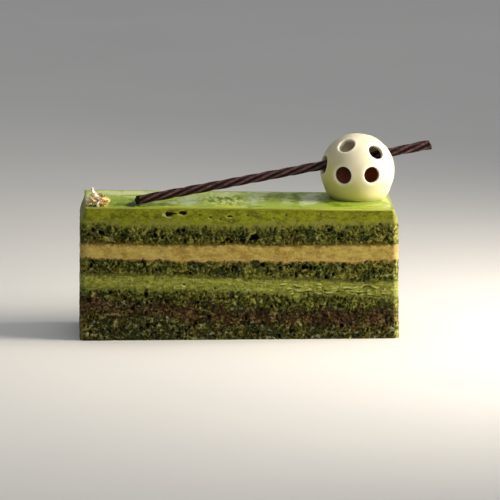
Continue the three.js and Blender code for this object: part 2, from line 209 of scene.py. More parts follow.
@dataclass
class Skin:
    """A mesh being put together: points in millimetres, faces, and a number per point for each name."""

    points: np.ndarray
    quads: np.ndarray
    triangles: np.ndarray
    values: dict[str, np.ndarray]

    @staticmethod
    def grid(points: np.ndarray, values: dict[str, np.ndarray] | None = None, closed: bool = True) -> Skin:
        """A sheet from a grid of points, facing the side that sees columns run right and rows up.

        Args:
            points: Array of rows, columns and x, y, z.
            values: Arrays of rows and columns.
            closed: Whether the last column joins the first.

        Returns:
            The sheet.
        """
        rows, columns = points.shape[:2]
        row, column = np.mgrid[0:rows - 1, 0:columns if closed else columns - 1]
        here, after = row * columns + column, row * columns + (column + 1) % columns
        quads = np.stack([here, after, after + columns, here + columns], -1).reshape(-1, 4)
        flat = {name: np.broadcast_to(value, (rows, columns)).ravel() for name, value in (values or {}).items()}
        return Skin(points.reshape(-1, 3), quads, NO_TRIANGLES, flat)

    def plus(self, other: Skin) -> Skin:
        """Joins this mesh and another in one, without welding.

        Args:
            other: A mesh whose values have the same names.

        Returns:
            Both, this one first.
        """
        shift = len(self.points)
        return Skin(np.vstack([self.points, other.points]), np.vstack([self.quads, other.quads + shift]),
                    np.vstack([self.triangles, other.triangles + shift]),
                    {name: np.concatenate([value, other.values[name]]) for name, value in self.values.items()})

    def capped(self, ring: np.ndarray, middle: np.ndarray) -> Skin:
        """Closes a ring of points with triangles, facing the side that sees it run counter-clockwise.

        Args:
            ring: Numbers of the ring's points, in order.
            middle: A middle point for each; equal ones are joined by welded().

        Returns:
            The closed mesh.
        """
        inner = len(self.points) + np.arange(len(ring))
        after, beyond = np.roll(ring, -1), np.roll(inner, -1)
        triangles = np.vstack([self.triangles, np.stack([ring, after, beyond], -1),
                               np.stack([ring, beyond, inner], -1)])
        values = {name: np.concatenate([value, value[ring]]) for name, value in self.values.items()}
        return Skin(np.vstack([self.points, middle]), self.quads, triangles, values)

    def welded(self) -> Skin:
        """Joins points at one place, and drops the faces and points that this leaves empty.

        Returns:
            The welded mesh.
        """
        _, first, group = np.unique(np.round(self.points / WELD).astype(np.int64), axis=0,
                                    return_index=True, return_inverse=True)
        group = group.ravel()
        quads, triangles = group[self.quads], group[self.triangles]
        folded = (quads == np.roll(quads, -1, 1)).any(1)
        slim = quads[folded]
        keep = slim != np.roll(slim, -1, 1)
        three = keep.sum(1) == 3
        triangles = np.vstack([triangles, slim[three][keep[three]].reshape(-1, 3)])
        triangles = triangles[(triangles != np.roll(triangles, -1, 1)).all(1)]
        quads = quads[~folded]
        used, place = np.unique(np.concatenate([quads.ravel(), triangles.ravel()]), return_inverse=True)
        place = place.ravel()
        return Skin(self.points[first][used], place[:quads.size].reshape(-1, 4), place[quads.size:].reshape(-1, 3),
                    {name: value[first][used] for name, value in self.values.items()})

    def built(self, name: str) -> bpy.types.Object:
        """Makes the Blender object, smooth, in metres, with its numbers as point attributes.

        Args:
            name: The object's name.

        Returns:
            The object, linked to the scene.
        """
        mesh = bpy.data.meshes.new(name)
        mesh.vertices.add(len(self.points))
        mesh.vertices.foreach_set("co", (self.points * MM).astype(np.float32).ravel())
        corners = np.concatenate([self.quads.ravel(), self.triangles.ravel()]).astype(np.int32)
        sizes = np.repeat((4, 3), (len(self.quads), len(self.triangles))).astype(np.int32)
        mesh.loops.add(len(corners))
        mesh.loops.foreach_set("vertex_index", corners)
        mesh.polygons.add(len(sizes))
        mesh.polygons.foreach_set("loop_start", (np.cumsum(sizes) - sizes).astype(np.int32))
        mesh.polygons.foreach_set("loop_total", sizes)
        for key, value in self.values.items():
            mesh.attributes.new(key, "FLOAT", "POINT").data.foreach_set("value", value.astype(np.float32))
        mesh.update(calc_edges=True)
        mesh.shade_smooth()
        piece = bpy.data.objects.new(name, mesh)
        bpy.context.scene.collection.objects.link(piece)
        return piece

    def settled(self, name: str, nodes: tuple[str, ...], slot: str, finish: Finish) -> None:
        """Makes a piece of the cake from this mesh, gives it its finish and ties it to the frame.

        Args:
            name: The piece's name.
            nodes: The frame's nodes that it stands for, if any.
            slot: The record's material slot; not used.
            finish: What it is made of.
        """
        piece = self.built(name)
        piece.data.materials.append(finish.material())
        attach(piece, "root")
        if nodes:
            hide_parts(*nodes)
        log.info("%s: %d triangles", name, 2 * len(self.quads) + len(self.triangles))


# ---- finishes -----------------------------------------------------------------------------------

class Kit(Enum):
    """The kinds of node in use: Blender's type, its fixed settings, its inputs in the order in which
    they are given, and the output that is taken."""

    PLACE = ("ShaderNodeTexCoord", {}, (), "Object")
    NUMBER = ("ShaderNodeAttribute", {}, (), "Fac")
    NOISE = ("ShaderNodeTexNoise", {}, ("Vector", "Scale", "Detail", "Roughness"), "Fac")
    STRETCHED = ("ShaderNodeMapping", {}, ("Vector", "Scale"), 0)
    SHIFTED = ("ShaderNodeMapping", {}, ("Vector", "Location"), 0)
    RANGE = ("ShaderNodeMapRange", {"clamp": True}, ("Value", "From Min", "From Max", "To Min", "To Max"), "Result")
    TIMES = ("ShaderNodeMath", {"operation": "MULTIPLY"}, (0, 1), 0)
    TIMES_PLUS = ("ShaderNodeMath", {"operation": "MULTIPLY_ADD"}, (0, 1, 2), 0)
    MIX = ("ShaderNodeMix", {"data_type": "RGBA"}, (0, 6, 7), 2)
    MULTIPLIED = ("ShaderNodeMix", {"data_type": "RGBA", "blend_type": "MULTIPLY"}, (0, 6, 7), 2)
    BUMP = ("ShaderNodeBump", {}, ("Strength", "Distance", "Height"), "Normal")


Adder = Callable[..., bpy.types.NodeSocket]


def linear(colour: str) -> tuple[float, float, float, float]:
    """Turns an sRGB hex colour to the linear red, green, blue and alpha that a socket takes."""
    parts = [int(colour[i:i + 2], 16) / 255.0 for i in (1, 3, 5)]
    return (*[p / 12.92 if p <= 0.04045 else ((p + 0.055) / 1.055) ** 2.4 for p in parts], 1.0)


def grain(millimetres: float) -> float:
    """The scale of a noise on Object coordinates whose bumps are about this wide."""
    return 1.0 / (millimetres * MM)


def fill(tree: bpy.types.NodeTree, node: bpy.types.Node, inputs: dict) -> None:
    """Sets a node's inputs.

    Args:
        tree: The node tree.
        node: The node.
        inputs: For each input, by name or number, a socket to link, a hex colour or a value.
    """
    for key, value in inputs.items():
        if isinstance(value, bpy.types.NodeSocket):
            tree.links.new(value, node.inputs[key])
        else:
            node.inputs[key].default_value = linear(value) if isinstance(value, str) else value


def add_node(tree: bpy.types.NodeTree, kit: Kit, *inputs: object, **settings: object) -> bpy.types.NodeSocket:
    """Adds a node with its settings, values and links.

    Args:
        tree: The node tree.
        kit: The kind of node.
        inputs: What its inputs take, in the kind's order. Those left out keep Blender's values.
        settings: The node's own properties.

    Returns:
        The node's output.
    """
    kind, fixed, keys, output = kit.value
    node = tree.nodes.new(kind)
    for key, value in {**fixed, **settings}.items():
        setattr(node, key, value)
    fill(tree, node, dict(zip(keys, inputs)))
    return node.outputs[output]


@dataclass(frozen=True)
class Finish:
    """What a piece is made of. Each kind paints its own colour, roughness and fine relief."""

    name: str

    def material(self) -> bpy.types.Material:
        """Makes the material at its first use.

        Returns:
            The material with this finish's name.
        """
        made = bpy.data.materials.get(self.name)
        if made is None:
            made = bpy.data.materials.new(self.name)
            made.use_nodes = True
            tree = made.node_tree
            add = partial(add_node, tree)
            fill(tree, tree.nodes["Principled BSDF"], self.paint(add, add(Kit.PLACE)))
        return made

    def paint(self, add: Adder, place: bpy.types.NodeSocket) -> dict[str, object]:
        """Adds the nodes that give this finish.

        Args:
            add: add_node() for the material's own nodes.
            place: Object coordinates, in metres.

        Returns:
            What the surface shader's inputs take.
        """
        raise NotImplementedError


@dataclass(frozen=True)
class SpongeCrumb(Finish):
    """Baked green-tea sponge, soaked and cut: matt torn crumb with open bubbles.

    The eye sees thin yellow-green walls round near-black bubbles, over moist dark green that turns
    cooler here and browner there. Where the layer was baked with cocoa, the same crumb is brown. The
    walls that stand out are painted lighter, partly as a painted highlight, a few of them carry painted
    glints, and the near-black deep in the bubbles is painted shade.

    Attributes:
        light: Colour of the thin walls between bubbles where they stand out, partly a painted highlight.
        glint: Painted highlight on the few walls that stand in the light.
        middle: Main colour, which turns to cool in some places and to warm in others.
        dark: Colour of the crumb just behind the cut.
        hollow: Painted shade deep in the bubbles.
        lit_corner_tint: Painted highlight on the right-hand corners, where they turn to the light.
        over: Colour that soaked in, or smeared, from the layer above.
        under: The same from the layer below.
        crumb: Width of a crumb, in millimetres.
    """

    # Partly painted highlight: the walls where they stand out.
    light: str = "#8c8c34"
    middle: str = "#45470f"
    dark: str = "#141504"
    # Painted highlight.
    glint: str = "#b2b46c"
    # Painted shade.
    hollow: str = "#090a04"
    cool: str = "#334020"
    warm: str = "#57401a"
    cocoa_light: str = "#785e3c"
    cocoa_middle: str = "#3e2f17"
    cocoa_dark: str = "#191208"
    cocoa_red: str = "#4a2214"
    # Painted highlight on the right-hand corners, for green crumb and for cocoa crumb.
    lit_corner_tint: str = "#c6c462"
    cocoa_lit_corner_tint: str = "#a8742e"
    over: str = "#7b7c24"
    under: str = "#5f511a"
    crumb: float = 0.95

    def paint(self, add: Adder, place: bpy.types.NodeSocket) -> dict[str, object]:
        """Colour from noises the size of crumbs and of patches, with a painted highlight on the walls that stand out,
        painted glints and painted shade in the hollows of the mesh.

        Args:
            add: add_node() for the material's own nodes.
            place: Object coordinates, in metres.

        Returns:
            What the surface shader's inputs take.
        """
        fine, broad, sparks, tiny = (add(Kit.NOISE, place, grain(size), detail, rough) for size, detail, rough in (
            (self.crumb, 4.0, 0.7), (4.0 * self.crumb, 3.0, 0.6), (1.5 * self.crumb, 4.0, 0.7), (0.4, 3.0, 0.65)))
        cocoa, hollow, raised, over, under, corner = (
            add(Kit.NUMBER, attribute_name=name) for name in ("cocoa", "hollow", "raised", "over", "under", "corner"))
        shade, glow, strong, spark, cool, warm = (add(Kit.RANGE, *row) for row in (
            (fine, 0.4, 0.58), (fine, 0.46, 0.68, 0.12), (broad, 0.4, 0.6, 0.15), (sparks, 0.52, 0.72, 0.0, 0.8),
            (broad, 0.5, 0.36, 0.0, 0.8), (broad, 0.54, 0.7, 0.0, 0.75)))
        # Painted highlight: the walls that stand out are lighter.
        lit = add(Kit.TIMES, add(Kit.TIMES, raised, glow), strong)
        green = add(Kit.MIX, warm, add(Kit.MIX, cool, self.middle, self.cool), self.warm)
        brown = add(Kit.MIX, warm, self.cocoa_middle, self.cocoa_red)
        colour = add(Kit.MIX, cocoa, *(add(Kit.MIX, lit, add(Kit.MIX, shade, dark, middle), light)
                                       for dark, middle, light in ((self.dark, green, self.light),
                                                                   (self.cocoa_dark, brown, self.cocoa_light))))
        # Painted glints on the walls that stand out, fewer in the cocoa crumb.
        bright = add(Kit.TIMES_PLUS, cocoa, -0.22, add(Kit.TIMES, raised, spark), use_clamp=True)
        lit_corner_tint = add(Kit.MIX, cocoa, self.lit_corner_tint, self.cocoa_lit_corner_tint)
        # Then the painted glints, the painted highlight on the right-hand corners, the smears from the neighbours and
        # the painted shade deep in the bubbles.
        for share, tint in ((bright, self.glint), (add(Kit.TIMES, corner, glow), lit_corner_tint), (over, self.over),
                            (under, self.under), (hollow, self.hollow)):
            colour = add(Kit.MIX, share, colour, tint)
        return {"Base Color": colour, "Normal": add(Kit.BUMP, 1.0, 0.0004, tiny), "Roughness": 0.6,
                "Specular IOR Level": 0.06}


@dataclass(frozen=True)
class CutCream(Finish):
    """Set cream cut with a wet knife: satin, faintly streaked along by the blade.

    The eye sees an even soft colour, a little uneven in broad clouds. Inside its bubbles and in the
    hollows under its folds it is painted darker as shade, and it is painted paler as a highlight on the
    lips that the knife has turned up, where its face stands out most and at the right-hand corners.
    Crumbs dragged from the sponges cling to its edges.

    Attributes:
        base: Its main colour.
        deep: Colour of its darker clouds and of its bubbles' sides.
        pale: Colour of its lighter streaks.
        over: Colour of what was dragged in from above.
        under: Colour of what was dragged in from below.
        lip: Painted highlight on the thin lips of its bubbles and folds and where its face stands out.
        pit: What the colour is multiplied by inside its bubbles: painted shade.
        streak: How strongly the streaks show.
        cloud: Width of its clouds, in millimetres.
        sheen: How strongly it mirrors light.
    """

    base: str = "#7a7c26"
    deep: str = "#5d6014"
    pale: str = "#9aa04a"
    over: str = "#4a4a1c"
    under: str = "#4a4a1c"
    # Painted highlight.
    lip: str = "#d8d3a2"
    # Painted shade.
    pit: str = "#3a381c"
    streak: float = 0.35
    cloud: float = 3.5
    roughness: float = 0.5
    sheen: float = 0.2

    def paint(self, add: Adder, place: bpy.types.NodeSocket) -> dict[str, object]:
        """Clouds and long low streaks, then the dragged crumbs, the painted highlight on the lips and the painted shade
        in the bubbles that the mesh carries.

        Args:
            add: add_node() for the material's own nodes.
            place: Object coordinates, in metres.

        Returns:
            What the surface shader's inputs take.
        """
        drawn = add(Kit.STRETCHED, place, (0.6, 0.6, 1.0))
        streaks = add(Kit.NOISE, drawn, grain(0.8), 3.0, 0.6)
        clouds = add(Kit.NOISE, drawn, grain(self.cloud), 6.0, 0.7)
        colour = add(Kit.MIX, add(Kit.RANGE, clouds, 0.4, 0.58), self.deep, self.base)
        colour = add(Kit.MIX, add(Kit.RANGE, streaks, 0.48, 0.7, 0.0, self.streak), colour, self.pale)
        # The lips take a painted highlight and the bubbles painted shade.
        for kit, name, tint in ((Kit.MIX, "over", self.over), (Kit.MIX, "under", self.under),
                                (Kit.MIX, "raised", self.lip), (Kit.MULTIPLIED, "hollow", self.pit)):
            colour = add(kit, add(Kit.NUMBER, attribute_name=name), colour, tint)
        return {"Base Color": colour, "Normal": add(Kit.BUMP, 0.4, 0.0002, clouds), "Roughness": self.roughness,
                "Specular IOR Level": self.sheen, "Subsurface Weight": 0.1, "Subsurface Radius": (1.0, 0.8, 0.3),
                "Subsurface Scale": 0.001}


@dataclass(frozen=True)
class MirrorGlaze(Finish):
    """Poured green-tea glaze: a glossy gelled skin, marbled where paler glaze ran into it.

    The eye sees soft pale clouds over clear yellow green, milky and dark green mottling and a sharp
    gloss, and at the edge, where the skin is seen end on, the olive of the cream behind it. The pale
    clouds, which grow paler towards the back, are partly marbling and partly painted reflection; the
    milky grey patches are painted reflections, the darkest patches painted shadows of the stick and
    the ball, and the lit edge a painted highlight, strongest at the right.
    """

    clear: str = "#90a53a"
    # Partly marbling, partly painted reflection.
    pale: str = "#d0da9e"
    # Painted reflection.
    painted_reflection: str = "#c2cdae"
    deep: str = "#5e7408"
    # Painted shadow.
    dark: str = "#2c3a06"
    bright: str = "#b0b83c"
    foam: str = "#c2ce78"
    froth: str = "#5e7c16"
    edge: str = "#80822a"
    # Painted highlight along the edge.
    lit_edge: str = "#a6aa4c"
    mottle: float = 1.5
    gain: float = 0.45

    def paint(self, add: Adder, place: bpy.types.NodeSocket) -> dict[str, object]:
        """The marbling, with its painted reflections, painted shadows and painted edge highlight: where noise + gain x
        amount passes a threshold, the amount's tint shows.

        The mesh carries the amounts, and the noise is drawn out from front to back.

        Args:
            add: add_node() for the material's own nodes.
            place: Object coordinates, in metres.

        Returns:
            What the surface shader's inputs take.
        """
        drawn = add(Kit.STRETCHED, place, (1.0, 0.25, 1.0))
        colour = self.clear
        for number, (attribute, tint, size, gain, low, high) in enumerate((
                ("pale", self.pale, 1.0, self.gain, 0.46, 0.9), ("painted_reflection", self.painted_reflection, 1.4, self.gain, 0.5, 0.95),
                ("deep", self.deep, 1.2, self.gain, 0.5, 0.94), ("bright", self.bright, 0.8, self.gain, 0.58, 0.9),
                ("froth", self.foam, 1.0, self.gain, 0.5, 0.9), ("froth", self.froth, 0.9, 0.0, 0.42, 0.6),
                ("dark", self.dark, 1.0, self.gain, 0.5, 0.9), ("edge", self.edge, 1.0, self.gain, 0.2, 0.7),
                ("lit_edge", self.lit_edge, 1.0, self.gain, 0.2, 0.9))):
            amount = add(Kit.NUMBER, attribute_name=attribute)
            shifted = add(Kit.SHIFTED, drawn, (0.05 * number, 0.03 * number, 0.0))
            torn = add(Kit.NOISE, shifted, grain(size * self.mottle), 2.5, 0.58)
            patch = add(Kit.RANGE, add(Kit.TIMES_PLUS, amount, gain, torn), low, high)
            colour = add(Kit.MIX, add(Kit.TIMES, patch, amount, use_clamp=True), colour, tint)
        sway = add(Kit.NOISE, place, grain(3.5), 2.0)
        return {"Base Color": colour, "Normal": add(Kit.BUMP, 0.2, 0.0003, sway), "Roughness": 0.18,
                "Specular IOR Level": 0.04, "Subsurface Weight": 0.08, "Subsurface Radius": (1.0, 1.0, 0.3),
                "Subsurface Scale": 0.001}


@dataclass(frozen=True)
class MouldedChocolate(Finish):
    """White chocolate cast in a mould, lined with dark chocolate: soft satin, faintly mottled.

    The eye sees creamy ivory with pale melted rims, painted yellower towards the foot and the left,
    which stands for green light bounced up from the glaze and for the side in shade, and dark brown
    inside, which stands both for the dark chocolate and for painted shade in the ball, painted redder
    at the right as light shining through it.
    """

    ivory: str = "#d1cebc"
    # Painted bounce light and shade: the yellower ivory of the foot and the left side.
    shade: str = "#e0d488"
    rim: str = "#efe9d6"
    # Dark chocolate inside, which also stands for painted shade in the ball.
    lining_and_shade: str = "#24170b"
    # Painted glow of light shining through the dark chocolate at the right.
    lit_through_lining: str = "#a84c1e"
    spot: str = "#e6cf4a"

    def paint(self, add: Adder, place: bpy.types.NodeSocket) -> dict[str, object]:
        """Broad faint mottling with the painted yellowing of the foot and the left side, then the rims, the dark inside
        with its painted shade and one yellow spot that the mesh carries.

        Args:
            add: add_node() for the material's own nodes.
            place: Object coordinates, in metres.

        Returns:
            What the surface shader's inputs take.
        """
        broad = add(Kit.NOISE, place, grain(5.0), 3.0, 0.55)
        fine = add(Kit.NOISE, place, grain(0.6), 2.0, 0.6)
        low, rim, spot, thin, lining_and_shade = (
            add(Kit.NUMBER, attribute_name=name) for name in ("low", "rim", "spot", "thin", "lining_and_shade"))
        # Painted bounce light and shade: yellower towards the foot and the left.
        colour = add(Kit.MIX, add(Kit.TIMES_PLUS, broad, 0.3, low, use_clamp=True), self.ivory, self.shade)
        dark = add(Kit.MIX, thin, self.lining_and_shade, self.lit_through_lining)
        for share, tint in ((rim, self.rim), (spot, self.spot), (lining_and_shade, dark)):
            colour = add(Kit.MIX, share, colour, tint)
        return {"Base Color": colour, "Normal": add(Kit.BUMP, 0.12, 0.0001, fine),
                "Roughness": add(Kit.RANGE, lining_and_shade, 0.0, 1.0, 0.42, 0.85), "Specular IOR Level": 0.3,
                "Subsurface Weight": 0.12, "Subsurface Radius": (1.0, 0.8, 0.4), "Subsurface Scale": 0.0015}


@dataclass(frozen=True)
class PulledChocolate(Finish):
    """Dark chocolate drawn into a twisted stick: satin ridges with painted highlights, painted shade in the grooves, a
    bloom of sugar specks.
    """

    # Painted highlight streaks on the ridges.
    gleam: str = "#6a4445"
    ridge: str = "#311a1b"
    # Painted shade in the grooves.
    groove: str = "#080303"
    speck: str = "#a08274"

    def paint(self, add: Adder, place: bpy.types.NodeSocket) -> dict[str, object]:
        """Painted highlight on the ridges and painted shade in the grooves that the mesh carries, with a few pale
        specks.

        Args:
            add: add_node() for the material's own nodes.
            place: Object coordinates, in metres.

        Returns:
            What the surface shader's inputs take.
        """
        high, speck = (add(Kit.NUMBER, attribute_name=name) for name in ("raised", "speck"))
        fine, broad = (add(Kit.NOISE, place, grain(size), 3.0, 0.6) for size in (0.5, 2.0))
        # Painted highlight along the ridges, broken up by broad noise.
        crest_highlight = add(Kit.RANGE, add(Kit.TIMES, high, broad), 0.3, 0.6, 0.0, 0.9)
        colour = add(Kit.MIX, crest_highlight, add(Kit.MIX, high, self.groove, self.ridge), self.gleam)
        colour = add(Kit.MULTIPLIED, 0.35, colour, fine.node.outputs["Color"])
        return {"Base Color": add(Kit.MIX, speck, colour, self.speck), "Normal": add(Kit.BUMP, 0.3, 0.00012, fine),
                "Roughness": add(Kit.RANGE, fine, 0.0, 1.0, 0.28, 0.5), "Specular IOR Level": 0.15}


@dataclass(frozen=True)
class BeatenGold(Finish):
    """Edible gold leaf, beaten thin and crumpled: bright creases and yellow curls, some painted brown as shade and some
    pinkish pale as a painted highlight.
    """

    # Painted shade.
    brown: str = "#b08a50"
    gold: str = "#f0d880"
    # Painted highlight.
    rosy_highlight: str = "#fff0e2"
    # Painted shade in the crumpling.
    shade: str = "#7c5428"

    def paint(self, add: Adder, place: bpy.types.NodeSocket) -> dict[str, object]:
        """Each curl's tint, from brown painted shade through gold to a pinkish pale painted highlight, painted shade in
        the low parts of the fine crumpling, and tiny creases in the relief.

        Args:
            add: add_node() for the material's own nodes.
            place: Object coordinates, in metres.

        Returns:
            What the surface shader's inputs take.
        """
        own = add(Kit.NUMBER, attribute_name="tint")
        fine = add(Kit.NOISE, place, grain(0.6), 3.0, 0.65)
        colour = self.brown
        for value, low, high, most, tint in ((own, 0.0, 0.4, 1.0, self.gold), (own, 0.55, 0.9, 1.0, self.rosy_highlight),
                                             (fine, 0.5, 0.34, 0.6, self.shade)):
            colour = add(Kit.MIX, add(Kit.RANGE, value, low, high, 0.0, most), colour, tint)
        return {"Base Color": colour, "Normal": add(Kit.BUMP, 0.5, 0.0002, fine), "Metallic": 0.2, "Roughness": 0.36}


@dataclass(frozen=True)
class StudioTop(Finish):
    """Matt laminate table top: plain and pale, with the faintest cloudiness."""

    light: str = "#e6e6e4"
    dark: str = "#dfdfdd"

    def paint(self, add: Adder, place: bpy.types.NodeSocket) -> dict[str, object]:
        """Two near greys in broad clouds.

        Args:
            add: add_node() for the material's own nodes.
            place: Object coordinates, in metres.

        Returns:
            What the surface shader's inputs take.
        """
        clouds = add(Kit.NOISE, place, grain(90.0), 3.0)
        return {"Base Color": add(Kit.MIX, clouds, self.dark, self.light), "Roughness": 0.6,
                "Specular IOR Level": 0.25}


SPONGE = SpongeCrumb("green_tea_sponge_crumb")
FOOT_SPONGE = SpongeCrumb("green_tea_sponge_foot", light="#7c782e", middle="#33320b", dark="#0e0e04",
                          glint="#c2c08c")
UNDER_MOUSSE = SpongeCrumb("green_tea_sponge_under_mousse", over="#7a7c30", under="#5c4a16")
UNDER_BUTTER = SpongeCrumb("green_tea_sponge_under_butter_cream", over="#9a7a3c", under="#5c6020")
UNDER_CREAM = SpongeCrumb("green_tea_sponge_under_cream", light="#7e7f2e", middle="#43450e", over="#7a8034")
GREEN_CREAM = CutCream("whipped_green_tea_cream", base="#868a2a", deep="#5e6214", pale="#aeb25e", streak=0.5,
                       over="#45451a", under="#5a5d20", lip="#c6c880", cloud=1.5)
CARAMEL_CREAM = CutCream("caramel_butter_cream", base="#ae9a4c", deep="#8c722c", pale="#c6b56e", streak=0.4,
                         over="#54491a", under="#b39a58", lip="#d2bc86", cloud=2.4)
MOUSSE = CutCream("set_green_tea_mousse", base="#80860f", deep="#565a06", pale="#a4a83e", streak=0.5,
                  under="#7a7c34", lip="#bcb87c", cloud=2.0, roughness=0.45, sheen=0.12)
GLAZE = MirrorGlaze("green_tea_mirror_glaze")
IVORY = MouldedChocolate("moulded_white_chocolate")
DARK = PulledChocolate("pulled_dark_chocolate")
GOLD = BeatenGold("beaten_gold_leaf")
TABLE = StudioTop("pale_laminate_table")


# ---- the slice ----------------------------------------------------------------------------------

class Stuff(Enum):
    """What a layer is made of. The value names the Knife's method for the side that it leaves."""

    SPONGE = "sponge"
    CREAM = "cream"
    BUTTER = "butter"
    MOUSSE = "mousse"
    GLAZE = "glaze"


@dataclass(frozen=True)
class Layer:
    """One layer.

    Attributes:
        top: Height of its upper face at the left mark, the middle and the right mark.
        wave: How much that face waves.
        torn: How much the knife tore the border there.
        mixed: How far the two stuffs there are dragged into each other.
    """

    node: str
    slot: str
    stuff: Stuff
    finish: Finish
    top: tuple[float, float, float]
    wave: float
    torn: float
    mixed: float = 1.0


LAYERS = (
    Layer("base_sponge", "green_sponge", Stuff.SPONGE, FOOT_SPONGE, (8.2, 6.0, 4.8), 0.3, 0.3),
    Layer("cocoa_sponge", "brown_sponge", Stuff.SPONGE, FOOT_SPONGE, (14.2, 11.0, 9.9), 0.3, 0.3),
    Layer("lower_sponge", "green_sponge", Stuff.SPONGE, UNDER_CREAM, (18.1, 16.6, 15.1), 0.3, 0.45),
    Layer("green_cream", "green_cream", Stuff.CREAM, GREEN_CREAM, (22.9, 21.5, 20.3), 0.25, 0.35, 0.9),
    Layer("middle_sponge", "green_sponge", Stuff.SPONGE, UNDER_BUTTER, (28.4, 27.3, 27.1), 0.2, 0.5, 0.8),
    Layer("caramel_cream", "caramel_cream", Stuff.BUTTER, CARAMEL_CREAM, (33.5, 32.9, 32.7), 0.12, 0.16, 0.9),
    Layer("top_sponge", "green_sponge", Stuff.SPONGE, UNDER_MOUSSE, (40.4, 39.6, 39.8), 0.2, 0.45, 1.9),
    Layer("matcha_mousse", "mousse", Stuff.MOUSSE, MOUSSE, (45.7, 45.2, 44.6), 0.0, 0.0),
)
TOPMOST = len(LAYERS) - 1


@dataclass(frozen=True)
class Mark:
    """A named place on the cut front: an oval bubble, with a turned lip low on its left if it has one."""

    x: float
    z: float
    half_width: float
    half_height: float
    depth: float
    lip: float = 0.0


FRONT_MARKS = tuple(Mark(*row) for row in (
    # the double bubble high in the top cream, and its smaller neighbours
    (-24.2, 43.8, 1.45, 0.95, 1.4, 1.0), (-19.8, 44.2, 1.7, 0.75, 1.3, 0.5), (-22.0, 44.0, 1.6, 0.3, 0.8),
    (-32.8, 44.0, 0.32, 0.28, 0.4), (-10.0, 42.6, 0.6, 0.35, 0.7, 0.4), (-3.4, 42.9, 1.2, 0.36, 1.0, 0.7),
    (2.7, 43.1, 0.5, 0.3, 0.7, 0.3), (8.0, 44.4, 2.0, 0.2, 0.3, 0.35), (15.8, 43.1, 0.4, 0.3, 0.7, 0.3),
    (-6.8, 42.0, 0.5, 0.3, 0.6, 0.3), (11.5, 42.2, 0.45, 0.3, 0.6, 0.3), (-13.8, 43.4, 0.5, 0.3, 0.6),
    # open holes in the sponges
    (-47.3, 37.5, 1.0, 0.9, 1.4), (-32.1, 16.3, 0.85, 1.6, 1.5), (-44.3, 16.8, 0.9, 0.8, 1.2),
    (22.2, 25.1, 1.45, 0.9, 2.0), (13.9, 24.9, 0.6, 0.55, 1.1), (-2.2, 25.3, 0.6, 0.5, 1.0),
    (33.8, 34.8, 0.6, 0.55, 1.0), (38.8, 39.0, 0.5, 0.5, 0.9), (35.2, 4.6, 0.9, 0.8, 1.3),
    (5.0, 35.6, 1.6, 1.1, 1.5), (3.6, 35.0, 0.9, 0.7, 1.2),
    # bubbles with a turned lip in the green cream
    (-19.1, 19.3, 0.8, 0.4, 0.7, 0.9), (-8.5, 18.0, 0.5, 0.5, 0.8, 0.3),
))


